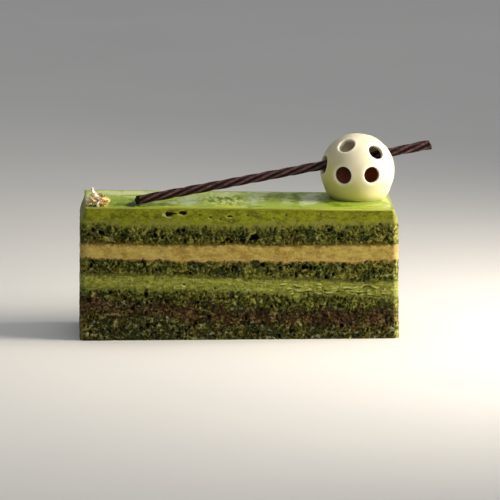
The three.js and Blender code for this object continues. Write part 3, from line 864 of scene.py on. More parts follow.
@dataclass(frozen=True)
class Block:
    """The block that all layers are cut from, and how the knife left its sides.

    Attributes:
        lean: How far the sides have leant in at the height taper_from.
        cream_taper: How much more the top cream is drawn in, over the height taper_over.
        mark: Distance of a layer's left and right marks from the middle.
        top_twist: How much the topmost face is turned about the slice's length.
        top_tilt: How much it rises to the back.
        dip: Place, depth, half length and reach inwards of the hollow in the layer dip_layer.
        waves: Each wave's number along and across, share and shift.
        step: Distance between columns, and between rows.
    """

    length: float = 110.0
    depth: float = 35.0
    lean: float = 0.4
    cream_taper: float = 1.7
    taper_from: float = 40.0
    taper_over: float = 6.0
    corner_radius: float = 2.4
    top_corner_radius: float = 0.9
    mark: float = 41.0
    top_twist: float = 0.15
    top_tilt: float = 0.25
    dip: tuple[float, float, float, float] = (20.6, 2.6, 3.2, 9.0)
    dip_layer: int = 2
    waves: tuple[tuple[float, float, float, float], ...] = ((0.13, 0.0, 1.0, 1.7), (0.31, 0.18, 0.6, 2.3))
    step: float = 0.2

    @property
    def half(self) -> np.ndarray:
        """Half the length and half the depth."""
        return np.array((self.length, self.depth)) / 2.0

    @property
    def girth(self) -> float:
        """Length of the outline at the foot."""
        return 4.0 * (self.half - self.corner_radius).sum() + TURN * self.corner_radius

    def level(self, index: int, x: np.ndarray, y: np.ndarray) -> np.ndarray:
        """Height of a layer's upper face.

        A parabola through its three marks, plus two sine waves along the slice, less the hollow
        where green cream sank in, and a slight twist and tilt of the topmost face.

        Args:
            index: The layer's number from the foot, or -1 for the foot itself.
            x: Place along the slice.
            y: Place across it.

        Returns:
            The heights.
        """
        if index < 0:
            return np.zeros(np.broadcast(x, y).shape)
        left, middle, right = LAYERS[index].top
        t = x / self.mark
        height = middle + 0.5 * (right - left) * t + (0.5 * (right + left) - middle) * t * t
        for along, across, share, shift in self.waves:
            height = height + LAYERS[index].wave * share * np.sin(along * x + across * y + shift * index)
        if index == self.dip_layer:
            at, deep, half, reach = self.dip
            inward = np.maximum(0.0, 1.0 - (y + self.depth / 2.0) / reach)
            height = height - deep * np.maximum(0.0, 1.0 - np.abs(x - at) / half) * inward
        if index == TOPMOST:
            height = height + (self.top_tilt - self.top_twist * 2.0 * x / self.length) * (y / self.depth + 0.5)
        return height

    def glaze_top(self, x: np.ndarray, y: np.ndarray) -> np.ndarray:
        """Height of the glaze's face."""
        return self.level(TOPMOST, x, y) + GlazeSkin.thickness

    def columns(self) -> tuple[np.ndarray, np.ndarray, np.ndarray]:
        """The outline, counter-clockwise from the front left corner, in evenly spaced columns.

        Returns:
            For each column its share of the straight sides' half lengths (x and y from -1 to 1), the
            direction facing out, and the distance along the outline with 0 at the front's middle.
        """
        straight = self.half - self.corner_radius
        counts = [round(2.0 * side / self.step) for side in straight]
        bend = np.linspace(0.0, 1.0, round(TURN / 4.0 * self.corner_radius / self.step), endpoint=False)
        corners = np.array(((1.0, -1.0), (1.0, 1.0), (-1.0, 1.0), (-1.0, -1.0)))
        cores, turned = [], []
        for side, corner in enumerate(corners):
            count = counts[side % 2]
            out = (side - 1) * TURN / 4.0
            cores += [mix(corners[side - 1], corner, np.linspace(0.0, 1.0, count, endpoint=False)[:, None]),
                      np.tile(corner, (len(bend), 1))]
            turned += [np.full(count, out), out + bend * TURN / 4.0]
        core, angle = np.vstack(cores), np.concatenate(turned)
        face = np.stack([np.cos(angle), np.sin(angle)], -1)
        place = core * straight + face * self.corner_radius
        gap = np.linalg.norm(np.roll(place, -1, 0) - place, axis=1)
        return core, face, np.concatenate([[0.0], np.cumsum(gap)[:-1]]) - straight[0]

    def side(self, core: np.ndarray, face: np.ndarray, z: np.ndarray, depth: np.ndarray | float) -> np.ndarray:
        """Points of the side at given heights, drawn in by a depth.

        The outline is a rectangle with round corners. It leans in evenly with height, and the top
        cream is drawn in more, over a soft step, while its corners get tighter.

        Args:
            core: From columns().
            face: From columns().
            z: Heights, of any number of rows.
            depth: How far in from the outline.

        Returns:
            Array of rows, columns and x, y, z.
        """
        soft = smooth((z - self.taper_from) / self.taper_over)
        inset = self.lean * z / self.taper_from + self.cream_taper * soft
        radius = mix(self.corner_radius, self.top_corner_radius, soft)
        x = core[:, 0] * (self.length / 2.0 - inset - radius) + face[:, 0] * (radius - depth)
        y = core[:, 1] * (self.depth / 2.0 - radius) + face[:, 1] * (radius - depth)
        return np.stack([x, y, np.broadcast_to(z, x.shape)], -1)


@dataclass(frozen=True)
class Knife:
    """The relief that the cut leaves, as a depth in from the outline for each kind of stuff.

    Each method takes the distance s along the outline and the height z.

    Attributes:
        field: Patterns that close round the slice.
        squash: How much wider than tall the sponge's bubbles are drawn.
        fold_level: Height of the lowest fold in the green cream at the front's middle.
        fold_fall: How much it falls to the right.
        folds: For each fold its height above that, and where it begins and ends.
    """

    field: Field
    squash: float = 0.82
    fold_level: float = 17.0
    fold_fall: float = 0.035
    folds: tuple[tuple[float, float, float], ...] = (
        (0.0, 12.0, 53.0), (0.8, 4.0, 52.0), (1.6, 18.0, 53.0), (2.5, 8.0, 30.0), (2.8, 28.0, 50.0))

    def sponge(self, s: np.ndarray, z: np.ndarray) -> np.ndarray:
        """Open crumb: cut bubbles of three sizes with thin walls between them.

        They lie in bent coordinates, drawn out a little upwards, with low lumps, a(1 - |noise|), behind.

        Args:
            s: Distance along the outline.
            z: Height.

        Returns:
            The depth in from the outline.
        """
        f = self.field
        u = s + f.noises(s, z, (0.4, 1.6, 11), (0.16, 0.6, 13))
        v = z + f.noises(s, z, (0.35, 1.5, 12), (0.14, 0.55, 14))
        lumps = sum(share * (1.0 - np.abs(f.noise(u, v, size, seed))) for share, size, seed in (
            (0.3, 2.2, 21), (0.16, 1.0, 22)))
        cells = [f.bubbles(u, v * self.squash, *row) for row in (
            (3.4, (0.4, 1.1), 0.3, 31), (1.5, (0.26, 0.66), 0.55, 41), (0.9, (0.16, 0.44), 0.6, 51))]
        uneven = (0.9 + f.noises(s, z, (0.6, 3.4, 15), (0.3, 1.2, 16))).clip(0.15)
        return (lumps - 0.1).clip(0.0) + 0.85 * uneven * np.max(cells, axis=0)

    def cream(self, s: np.ndarray, z: np.ndarray) -> np.ndarray:
        """Whipped cream dragged by the blade: wandering ridges, tall streaks and open bubbles.

        Args:
            s: Distance along the outline.
            z: Height.

        Returns:
            The depth in from the outline.
        """
        f = self.field
        u = s + 0.5 * f.noise(s, z, 1.8, 65)
        dragged = 0.7 + 0.4 * smooth((s - 5.0) / 25.0) * smooth((56.0 - s) / 3.0)
        deep = sum(share * (1.0 - (1.0 - np.abs(f.noise(u, z, *row))) ** power) for share, power, *row in (
            (0.26, 4, 3.0, 61, 0.36), (0.14, 3, 1.2, 62, 0.6))) + 0.05 * f.noise(s, z, 0.45, 63)
        return dragged * deep.clip(0.0) + 0.8 * f.bubbles(s, z, 1.9, (0.12, 0.42), 0.4, 64)

    def butter(self, s: np.ndarray, z: np.ndarray) -> np.ndarray:
        """Butter cream: smoother, with faint drag marks and pin holes."""
        waves = 0.12 + self.field.noises(s, z, (0.06, 3.6, 71, 0.6), (0.05, 0.9, 72, 0.6), (0.025, 0.5, 73))
        return waves.clip(0.0) + 0.7 * self.field.bubbles(s, z, 1.8, (0.08, 0.24), 0.3, 74)

    def mousse(self, s: np.ndarray, z: np.ndarray) -> np.ndarray:
        """Set mousse: a nearly level satin face, with a few bubbles."""
        waves = 0.12 + self.field.noises(s, z, (0.05, 5.0, 81, 0.6), (0.04, 1.1, 82, 0.6))
        return waves.clip(0.0) + 0.8 * self.field.bubbles(s, z, 3.6, (0.1, 0.32), 0.35, 84)

    def glaze(self, s: np.ndarray, z: np.ndarray) -> np.ndarray:
        """A poured edge: no relief."""
        return np.zeros(np.broadcast(s, z).shape)

    def folded(self, s: np.ndarray, z: np.ndarray) -> np.ndarray:
        """The cream's lower edge near the front right, where it is folded up in broken wavy lines.

        Each line is a bell curve of the height about a wandering level, times smooth noise along it.

        Args:
            s: Distance along the outline.
            z: Height.

        Returns:
            How far each point stands out, up to 1, or below a line how far it lies back, below 0.
        """
        f = self.field
        total = np.zeros(z.shape)
        bent = s + 0.8 * f.noise(s, z, 1.1, 136)
        for number, (height, begin, end) in enumerate(self.folds):
            level = self.fold_level - self.fold_fall * s + height
            above = (z - level - 0.6 * f.noise(bent, 0.0 * s, 3.4, 131 + number)) / 0.3
            there = smooth((s - begin) / 5.0) * smooth((end - s) / 3.0)
            broken = smooth(0.3 + 1.2 * f.noise(s, z, 1.2, 141 + number))
            total += (np.exp(-above ** 2) - 0.8 * np.exp(-(above + 1.7) ** 2)) * there * broken
        return total

    def marks(self, x: np.ndarray, z: np.ndarray, front: np.ndarray) -> tuple[np.ndarray, np.ndarray]:
        """The named places of the front: smooth-walled oval pits, and lips low on their left, which stand out a little
        and take the cream's painted highlight.

        Args:
            x: Place along the slice.
            z: Height.
            front: 1 on the cut front, 0 elsewhere.

        Returns:
            The depth and the lip at each point.
        """
        depth, lip = np.zeros(x.shape), np.zeros(x.shape)
        for mark in FRONT_MARKS:
            dx, dz = (x - mark.x) / mark.half_width, (z - mark.z) / mark.half_height
            apart = np.hypot(dx, dz) + 0.3 * self.field.noise(x, z, 0.8, 91)
            depth = np.maximum(depth, mark.depth * (1.0 - smooth((apart - 0.55) / 0.5)))
            away = (1.0 - 1.2 / np.maximum(apart, 0.3)) * np.hypot(x - mark.x, z - mark.z)
            ring = np.exp(-(away / 0.24) ** 2) * smooth(-0.1 - 0.6 * dx - 0.7 * dz)
            lip = np.maximum(lip, mark.lip * ring)
        return depth * front, lip * front


@dataclass(frozen=True)
class CakeLayers:
    """The eight layers of the block, each a closed body whose side rows meet its neighbours'.

    Attributes:
        blend: Height over which the relief turns into a neighbour's.
        cocoa_soft: Height over which the cocoa fades out.
        hollow_depth: Depth over which the painted shade in a bubble deepens.
        smear: How strongly a neighbour's colour shows at a border.
        pressed: How much shallower the relief is at the corners.
    """

    block: Block = Block()
    blend: float = 0.7
    cocoa_soft: float = 3.0
    hollow_depth: float = 0.95
    smear: float = 0.85
    pressed: float = 0.25

    @property
    def field(self) -> Field:
        """Patterns that close round the slice."""
        return Field(self.block.girth)

    def border(self, index: int, s: np.ndarray, core: np.ndarray) -> np.ndarray:
        """Height of the border above a layer at each column: its level, torn a little by the knife.

        Args:
            index: The layer under the border, or -1 for the foot.
            s: Distance along the outline.
            core: From Block.columns().

        Returns:
            One height for each column.
        """
        height = self.block.level(index, *(core * self.block.half).T)
        if index < 0:
            return height
        return height + LAYERS[index].torn * self.field.noises(
            s, 0.0 * s + 7.3 * index, (0.7, 2.6, 101), (0.6, 0.9, 102), (0.35, 0.42, 103))

    def build(self) -> None:
        """Builds every layer from the foot up and dresses it.

        A layer's side is its own relief, half and half with a neighbour's at the borders, deepened by
        the marks and shallower at the corners, which the knife pressed.
        """
        core, face, s = self.block.columns()
        knife = Knife(self.field)
        front = (face[:, 1] < -0.99).astype(float)
        pressed = smooth(np.abs(face[:, 0] * face[:, 1]) / 0.4)
        # The right-hand corners, which the finishes paint with a highlight where they turn to the light.
        lit_corner = pressed * smooth(4.0 * face[:, 0])
        borders = [self.border(index, s, core) for index in range(-1, len(LAYERS))]
        stuffs = [LAYERS[0].stuff, *[layer.stuff for layer in LAYERS], Stuff.GLAZE]
        for index, layer in enumerate(LAYERS):
            low, high = borders[index:index + 2]
            rows = int(np.ceil((high - low).max() / self.block.step)) + 1
            z = mix(low, high, np.linspace(0.0, 1.0, rows)[:, None])
            across = np.broadcast_to(s, z.shape)
            under, over = (0.5 * (1.0 - smooth(gap / self.blend)) for gap in (z - low, high - z))
            relief = sum(getattr(knife, stuff.value)(across, z) * share for stuff, share in (
                (layer.stuff, 1.0 - under - over), (stuffs[index], under), (stuffs[index + 2], over)))
            pit, lip = knife.marks(self.block.side(core, face, z, 0.0)[..., 0], z, front)
            if layer.stuff is Stuff.CREAM:
                # A fold's ridge takes the painted highlight of a lip, and the cream lying back under it painted shade.
                fold = knife.folded(across, z)
                lip = np.maximum(lip, 0.6 * fold.clip(0.0, 1.0))
                relief = relief * (1.0 - 0.9 * lip) + 0.6 * (-fold).clip(0.0)
            if layer.stuff is Stuff.MOUSSE:
                relief = relief * smooth((high - z) / 0.6)
                pit = pit * smooth((high - z) / 0.25)
            depth = (np.maximum(relief, pit) - 0.1 * lip).clip(0.0) * (1.0 - self.pressed * pressed)
            values = self.numbers(index, across, z, depth, lip, borders)
            # Less painted shade in the bubbles where the knife pressed the corners.
            values["hollow"] = values["hollow"] * (1.0 - 0.85 * pressed)
            # The right-hand corners carry a painted highlight; the sponges' pressed corners count as raised and take
            # the walls' painted highlight, and the creams' right-hand corners some of the lips'.
            values["corner"] = 0.0 * z + lit_corner
            lowest = 0.85 * pressed if layer.stuff is Stuff.SPONGE else 0.3 * lit_corner
            values["raised"] = np.maximum(values["raised"], lowest)
            skin = self.closed(Skin.grid(self.block.side(core, face, z, depth), values), core, rows, index)
            skin.welded().settled(layer.node + "_cut", (layer.node,), layer.slot, layer.finish)

    def numbers(self, index: int, s: np.ndarray, z: np.ndarray, depth: np.ndarray, lip: np.ndarray,
                borders: list[np.ndarray]) -> dict[str, np.ndarray]:
        """What the finish reads at each point.

        Args:
            index: The layer's number.
            s: Distance along the outline.
            z: Height.
            depth: Depth of the relief.
            lip: Raised lips, from 0 to 1.
            borders: Heights of all borders.

        Returns:
            How much painted shade each point takes in its hollows, how raised it is, which sets a painted
            highlight, how much the layers above and below colour it, and for the sponges how much cocoa it has.
        """
        f, stuff = self.field, LAYERS[index].stuff
        fuzz = f.noises(s, z, (0.45, 0.55, 121, 2.4), (0.45, 1.7, 122))
        values = {"over": np.zeros_like(z), "under": np.zeros_like(z)}
        for name, other, gap in (("over", index + 1, borders[index + 1] - z), ("under", index - 1, z - borders[index])):
            if 0 <= other < len(LAYERS) and LAYERS[other].stuff is not stuff:
                reach = LAYERS[max(index, other) - 1].mixed
                values[name] = self.smear * smooth((reach - gap) / reach + fuzz)
        if stuff is not Stuff.SPONGE:
            # The green cream is painted lighter where its face stands out most, a painted highlight; every cream gets
            # painted shade in its hollows.
            crest = 0.55 * (1.0 - smooth(depth / 0.15)) if stuff is Stuff.CREAM else 0.0
            return {**values, "hollow": smooth((depth - 0.4) / 0.5), "raised": np.maximum(lip, crest)}
        wander = f.noises(s, z, (1.5, 3.4, 111), (0.9, 1.0, 112))
        low, high = (smooth((gap + wander) / self.cocoa_soft + 0.5) for gap in (z - borders[1], borders[2] - z))
        filled = 1.0 - 0.6 * np.maximum(values["over"], values["under"])
        # For the sponges: painted shade deep in the bubbles, less where a neighbour's stuff fills them, and raised
        # walls that take a painted highlight.
        return {**values, "hollow": filled * smooth((depth - 0.2) / self.hollow_depth),
                "raised": 1.0 - smooth((depth - 0.1) / 0.3),
                "cocoa": low * high * (0.92 + 0.6 * f.noise(s, z, 2.2, 113)).clip(0.0, 1.0)}

    def closed(self, skin: Skin, core: np.ndarray, rows: int, index: int) -> Skin:
        """Closes a layer's side with a face below and a face above, each drawn to its middle line.

        Args:
            skin: The side.
            core: From Block.columns().
            rows: How many rows the side has.
            index: The layer's number.

        Returns:
            The closed layer.
        """
        ring = np.arange(len(core))
        x = core[:, 0] * (self.block.length - 0.8 * self.block.depth) / 2.0
        for number, order in ((index - 1, ring[::-1]), (index, ring)):
            middle = np.stack([x, 0.0 * x, self.block.level(number, x, 0.0 * x)], -1)[order]
            skin = skin.capped(order + (number == index) * (rows - 1) * len(core), middle)
        return skin


@dataclass(frozen=True)
class Blot:
    """A patch of the marbling: where it lies, how far it reaches, its slant and how strong it is."""

    x: float
    y: float
    half_length: float
    half_depth: float
    slant: float = 0.0
    strength: float = 1.0


# Patches of the glaze's tints: marbling, with the milky ones painted reflections, the pale ones partly painted
# reflection and the dark ones painted shadows.
MARBLING_AND_PAINTED_LIGHT = {tint: tuple(Blot(*row) for row in rows) for tint, rows in {
    "pale": ((-50.0, 0.0, 6.0, 18.0, 0.0, 0.7), (-34.0, 12.0, 22.0, 7.0, 0.0, 0.9), (-24.0, -4.8, 4.6, 2.0, 0.3),
             (-5.0, 12.0, 9.0, 5.0, 0.0, 0.8), (17.0, -1.0, 1.8, 13.0, 0.1, 0.6), (25.6, 3.0, 4.4, 13.0, 0.18),
             (16.0, 15.6, 14.0, 1.6, 0.0, 0.9), (47.0, -8.0, 3.0, 2.4, 0.0, 0.7), (52.4, 0.0, 2.4, 17.0, 0.0, 0.9),
             (0.0, -11.5, 3.0, 1.5, 0.0, 0.6)),
    "deep": ((-40.4, -12.5, 5.5, 4.5, 0.0, 0.9), (-42.0, -3.5, 4.6, 4.0, 0.0, 0.6), (-28.0, -12.0, 8.5, 4.0, 0.0, 0.9),
             (10.0, 4.0, 1.6, 11.0, 0.3, 0.62), (14.0, 5.0, 1.5, 11.0, 0.3, 0.62), (20.6, 7.0, 2.4, 11.0, 0.0, 0.75),
             (34.6, -9.6, 4.6, 2.6, 0.0, 0.9), (-12.0, -14.0, 3.0, 2.0, 0.0, 0.6), (6.0, -13.0, 3.0, 1.6, 0.0, 0.7),
             (21.0, -14.5, 5.0, 1.2, 0.0, 0.6)),
    # Painted reflections.
    "painted_reflection": ((-16.6, -2.0, 4.4, 12.0, 0.1, 0.9), (5.6, 1.0, 3.4, 14.0, 0.1, 0.8), (25.8, 4.0, 3.4, 11.0, 0.18)),
    "froth": ((-5.2, -1.5, 9.0, 11.0),),
    "bright": ((-21.0, -15.0, 7.0, 1.6, 0.0, 0.8), (-5.0, -14.0, 9.0, 2.4, 0.0, 0.9),
               (41.0, -14.0, 14.0, 3.4, 0.0, 0.7)),
    # Painted shadows: left of the stick's left end, left of the ball and at its front left.
    "dark": ((-36.4, -9.5, 2.2, 7.0, 0.1), (28.4, 4.0, 1.3, 9.0, 0.1, 0.6), (29.6, -5.5, 2.2, 3.0, 0.0, 0.7)),
}.items()}


@dataclass(frozen=True)
class GlazeSkin:
    """The thin poured glaze: its edge is rounded by its own tension and its face barely sways.

    Attributes:
        thickness: Height of its face above the mousse.
        edge: How far in the rounding reaches.
        sunk: How much deeper than the thickness the edge starts.
        rows: Rows from the edge to the middle line.
        crowding: Power that crowds the rows at the edge.
        sway: How far its face strays from level.
        edge_rows: The first row whose tint is no longer all the edge's, and the last that has any.
    """

    thickness = 0.5
    edge: float = 0.3
    sunk: float = 0.06
    rows: int = 60
    crowding: float = 1.3
    sway: float = 0.05
    edge_rows: tuple[float, float] = (7.0, 14.5)
    block: Block = Block()

    def build(self) -> None:
        """Carries a rounded edge profile round the outline, then draws rows in to the middle line.

        The edge is a quarter ellipse, in by edge(1 - cos a) and up by the sine of a. On the face a
        row's share t of the way in is t^1.3, so that rows crowd at the edge where light catches.
        """
        core, face, s = self.block.columns()
        under = self.block.level(TOPMOST, *(core * self.block.half).T)
        body = self.thickness * (1.0 + 0.12 * Field(self.block.girth).noise(s, 0.0 * s, 6.0, 201)) - self.sunk
        angle = np.linspace(0.0, TURN / 4.0, 7)[:, None]
        drawn = np.vstack([[[0.0]], self.edge * (1.0 - np.cos(angle))])
        lift = np.vstack([[[0.0]], 0.4 + 0.6 * np.sin(angle)])
        rim = self.block.side(core, face, under + body * lift, drawn)
        reach = (self.block.length - 0.9 * self.block.depth) / 2.0
        spine = np.stack([core[:, 0] * reach, 0.0 * s], -1)
        t = np.linspace(0.0, 1.0, self.rows)[1:, None] ** self.crowding
        x, y = np.moveaxis(mix(rim[-1, :, :2], spine, t[..., None]), -1, 0)
        settled = smooth(t * 12.0)
        edge_gap = rim[-1, :, 2] - self.block.glaze_top(*rim[-1, :, :2].T)
        z = self.block.glaze_top(x, y) + edge_gap * (1.0 - settled)
        z = z + self.sway * Field().noise(x, y, 7.0, 211) * settled
        points = np.concatenate([rim, np.stack([x, y, z], -1)])
        values = self.marbled(points[..., 0], points[..., 1])
        along, row = points[..., 0], np.arange(len(points))[:, None]
        first, last = self.edge_rows
        outer = smooth((last - row) / (last - first)) * np.ones_like(along)
        # Painted highlight along the edge, strongest at the right.
        lit = smooth((along - 12.0) / 25.0) + 0.5 * smooth((-along - 12.0) / 20.0)
        skin = Skin.grid(points, {**values, "edge": outer, "lit_edge": outer * lit})
        sole = np.column_stack([spine, self.block.level(TOPMOST, *spine.T)])[::-1]
        skin = skin.capped(np.arange(len(core))[::-1], sole)
        skin.welded().settled("poured_glaze", ("glaze",), "glaze", GLAZE)

    def marbled(self, x: np.ndarray, y: np.ndarray) -> dict[str, np.ndarray]:
        """How much of each tint the marbling has, painted reflections and painted shadows among them, from slanted
        ovals with soft torn edges.

        Args:
            x: Place along the slice.
            y: Place across it.

        Returns:
            For each tint a number from 0 to 1 at each point.
        """
        u = x + Field().noises(x, y, (1.4, 3.1, 221), (0.7, 1.3, 222))
        v = y + Field().noises(x, y, (3.0, 3.7, 223), (1.4, 1.7, 224))
        values = {tint: np.zeros_like(x) for tint in MARBLING_AND_PAINTED_LIGHT}
        # Paler towards the back: painted reflection.
        values["pale"] = 0.45 * smooth((y + 12.0) / 30.0)
        for tint, blots in MARBLING_AND_PAINTED_LIGHT.items():
            for blot in blots:
                dx = (u - blot.x - blot.slant * (v - blot.y)) / blot.half_length
                dy = (v - blot.y) / blot.half_depth
                amount = blot.strength * (1.0 - smooth((np.hypot(dx, dy) - 0.45) / 0.9))
                values[tint] = np.maximum(values[tint], amount)
        return values


# ---- the ball -----------------------------------------------------------------------------------

@dataclass(frozen=True)
class Hole:
    """A round hole in the ball."""

    azimuth: float
    elevation: float
    diameter: float

    @property
    def axis(self) -> np.ndarray:
        """The unit direction from the ball's middle to the hole's."""
        return direction(self.azimuth, self.elevation)

    def reach(self, radius: float, lip: float) -> float:
        """The angle between the axis and the outside of the hole's lip, on a sheet of a radius."""
        return math.asin((self.diameter / 2.0 + lip) / radius)

    def around(self, ways: np.ndarray) -> tuple[np.ndarray, np.ndarray, np.ndarray]:
        """Angles of directions round the axis.

        Args:
            ways: The directions.

        Returns:
            The angles, and the two directions square to the axis that they turn from and to.
        """
        side = unit(np.cross(self.axis, (0.0, 0.0, 1.0)))
        top = np.cross(self.axis, side)
        return np.arctan2(ways @ top, ways @ side), side, top


@dataclass(frozen=True)
class HoledBall:
    """The hollow ball: two round sheets, a rounded lip round each hole, and an open melted foot.

    Attributes:
        foot: How far the foot is below the middle.
        lip: Width of a hole's rounding on the outer sheet.
        inner_lip: The same on the inner sheet.
        around: Columns of a sheet.
        up: Rows of a sheet.
        follow: How far round a hole the points follow its edge, in radians.
        rounds: How often they are evened out.
        drawn: Rows at the foot that are drawn down to the glaze.
        melted: How much wider than a sphere the foot has spread, over the height melt_height.
        hollow_foot: Size of the opening in the foot, as a share of the inner sheet's.
        sway: How far the shell strays from a sphere.
        sunk: How far the foot reaches into the glaze.
        spot: Azimuth, elevation and size of the yellow spot.
    """

    radius: float = 12.9
    wall: float = 1.3
    foot: float = 9.8
    at: tuple[float, float, float] = (41.7, 6.5, 54.8)
    holes: tuple[Hole, ...] = (
        Hole(-27.0, 0.0, 6.0), Hole(19.8, 0.8, 5.5), Hole(-32.0, 51.0, 5.8), Hole(36.5, 37.5, 5.5),
        Hole(-76.2, 11.5, 6.4), Hole(102.8, 23.5, 6.0), Hole(-128.0, 2.0, 5.6), Hole(180.0, 6.0, 6.4),
        Hole(130.0, 2.0, 5.4), Hole(-140.0, 42.0, 5.6), Hole(160.0, 48.0, 5.5))
    lip: float = 0.42
    inner_lip: float = 0.25
    around: int = 300
    up: int = 128
    follow: float = 0.16
    rounds: int = 24
    drawn: float = 9.0
    melted: float = 0.08
    melt_height: float = 5.0
    hollow_foot: float = 0.86
    sway: float = 0.05
    sunk: float = 0.06
    spot: tuple[float, float, float] = (16.0, 62.0, 0.7)
    block: Block = Block()

    def opened(self, ways: np.ndarray, quads: np.ndarray) -> tuple[np.ndarray, list[np.ndarray]]:
        """Takes out the faces inside the holes.

        A hole's edge points are those that its own faces share with the faces that stay.

        Args:
            ways: Directions of the points.
            quads: All faces.

        Returns:
            The faces that stay, and for each hole its edge points in order round it.
        """
        middle = unit(ways[quads].mean(1))
        radius, lip = self.radius - self.wall / 2.0, 0.5 * (self.lip + self.inner_lip)
        inside = [middle @ hole.axis > math.cos(hole.reach(radius, lip)) for hole in self.holes]
        kept, loops = quads[~np.any(inside, axis=0)], []
        for hole, gone in zip(self.holes, inside):
            edge = np.intersect1d(quads[gone], kept)
            loops.append(edge[np.argsort(hole.around(ways[edge])[0])])
        return kept, loops

    def snapped(self, ways: np.ndarray, kept: np.ndarray, loops: list[np.ndarray], radius: float,
                lip: float) -> np.ndarray:
        """Moves each hole's edge points to an even circle, and lets the points near it follow.

        The edge points take equal angles round the hole's axis. The others are then averaged with
        their neighbours a number of times while the edges hold still.

        Args:
            ways: Directions of the points.
            kept: The faces.
            loops: Edge points of each hole, in order.
            radius: Radius of the sheet.
            lip: Width of the rounded lip there.

        Returns:
            The directions after the move.
        """
        ways = ways.copy()
        fixed, free = np.zeros((2, len(ways)), bool)
        for hole, loop in zip(self.holes, loops):
            turn, side, top = hole.around(ways[loop])
            even = TURN * np.arange(len(loop)) / len(loop)
            even = (even + (turn - even).mean())[:, None]
            reach = hole.reach(radius, lip)
            free |= ways @ hole.axis > math.cos(reach + self.follow)
            ways[loop] = math.cos(reach) * hole.axis + math.sin(reach) * (np.cos(even) * side + np.sin(even) * top)
            fixed[loop] = True
        fixed[:self.around] = True
        pairs = np.sort(np.stack([kept, np.roll(kept, -1, 1)], -1).reshape(-1, 2), 1)
        pairs = np.unique(pairs[pairs[:, 0] != pairs[:, 1]], axis=0)
        ends, others = np.concatenate([pairs, pairs[:, ::-1]]).T
        degree = np.maximum(np.bincount(ends, minlength=len(ways)), 1)[:, None]
        move = (free & ~fixed)[:, None]
        for _ in range(self.rounds):
            total = np.stack([np.bincount(ends, ways[others, k], len(ways)) for k in range(3)], -1)
            ways = np.where(move, total / degree, ways)
        return unit(ways)

    def lip_rows(self, hole: Hole) -> np.ndarray:
        """The profile of a hole's lip, from the outer sheet round into the wall and out to the inner.

        Each rounding is a cubic curve that starts along the sheet and ends along the hole's axis.

        Args:
            hole: The hole.

        Returns:
            For each row its distances from the hole's axis and along it.
        """
        t, r, profiles = np.linspace(0.0, 1.0, 7)[:, None], hole.diameter / 2.0, []
        for sphere, lip, down in ((self.radius, self.lip, -1.0), (self.radius - self.wall, self.inner_lip, 1.0)):
            slope = hole.reach(sphere, lip)
            start = np.array((r + lip, sphere * math.cos(slope)))
            end = np.array((r, start[1] + down * 0.8 * lip))
            first = start + 0.5 * lip * np.array((-math.cos(slope), math.sin(slope)))
            second = end - np.array((0.0, down * 0.5 * lip))
            profiles.append((1 - t) ** 3 * start + 3 * (1 - t) ** 2 * t * first + 3 * (1 - t) * t * t * second
                            + t ** 3 * end)
        return np.vstack([profiles[0], profiles[1][::-1]])

    def build(self) -> None:
        """Builds both sheets, the lips and the foot, and dresses the ball.

        A sheet is a grid of directions from the foot to the pole. The shell sways by a few hundredths
        from the true sphere, and its foot is drawn down onto the glaze, where it spread as it melted.
        """
        e = np.linspace(math.asin(-self.foot / self.radius), TURN / 4.0, self.up)[:, None]
        a = turns(self.around)
        sheet = Skin.grid(np.stack(np.broadcast_arrays(np.sin(a) * np.cos(e), -np.cos(a) * np.cos(e), np.sin(e)), -1))
        ways, (kept, loops) = sheet.points, self.opened(sheet.points, sheet.quads)
        count, sheets, clears = len(ways), [], []
        for radius, lip in ((self.radius, self.lip), (self.radius - self.wall, self.inner_lip)):
            turned = self.snapped(ways, kept, loops, radius, lip)
            x, y, z = turned.T
            clear = np.ones(count)
            for hole in self.holes:
                apart = np.arccos(np.clip(turned @ hole.axis, -1.0, 1.0))
                clear = np.minimum(clear, smooth((apart - (hole.diameter / 2.0 + lip) / radius) * 6.0))
            sway = self.sway * (Field().noise(x * 9.0 + 20.0, z * 9.0 + y * 5.0, 3.0, 301) - 1.0) * clear
            sheets.append(turned * (radius + sway)[:, None] + self.at)
            clears.append(clear)
        values = {"rim": np.concatenate([0.7 * (1.0 - clears[0]) ** 3, np.zeros(count)]),
                  "lining_and_shade": np.repeat((0.0, 1.0), count)}
        skin = Skin(np.vstack(sheets), np.vstack([kept, kept[:, ::-1] + count]), NO_TRIANGLES, values)
        skin = self.stood(skin, count)
        for hole, loop in zip(self.holes, loops):
            skin = self.rounded(skin, hole, loop, count)
        self.tinted(skin).welded().settled("holed_ball", ("white_chocolate_ball",), "white_chocolate", IVORY)

    def stood(self, skin: Skin, count: int) -> Skin:
        """Draws the lowest rows down to the glaze and joins the sheets under the foot.

        Args:
            skin: Both sheets, the outer one first.
            count: Points in one sheet.

        Returns:
            The ball standing on the glaze.
        """
        points, middle = skin.points, np.array(self.at[:2])
        level = self.block.glaze_top(points[:, 0], points[:, 1]) - self.sunk
        row = np.tile(np.arange(count) // self.around, 2)
        points[:, 2] += (1.0 - smooth(row / self.drawn)) * (level - points[:self.around, 2].mean())
        low = 1.0 - smooth((points[:, 2] - points[:, 2].min()) / self.melt_height)
        points[:, :2] = mix(middle, points[:, :2], 1.0 + self.melted * low[:, None])
        inner = points[count:count + self.around]
        inner[:, :2] = mix(middle, inner[:, :2], self.hollow_foot)
        inner[:, 2] = self.block.glaze_top(inner[:, 0], inner[:, 1]) - self.sunk
        columns = np.arange(self.around)
        after = np.roll(columns, -1)
        sole = np.stack([columns, count + columns, count + after, after], -1)
        return Skin(points, np.vstack([skin.quads, sole]), skin.triangles, skin.values)

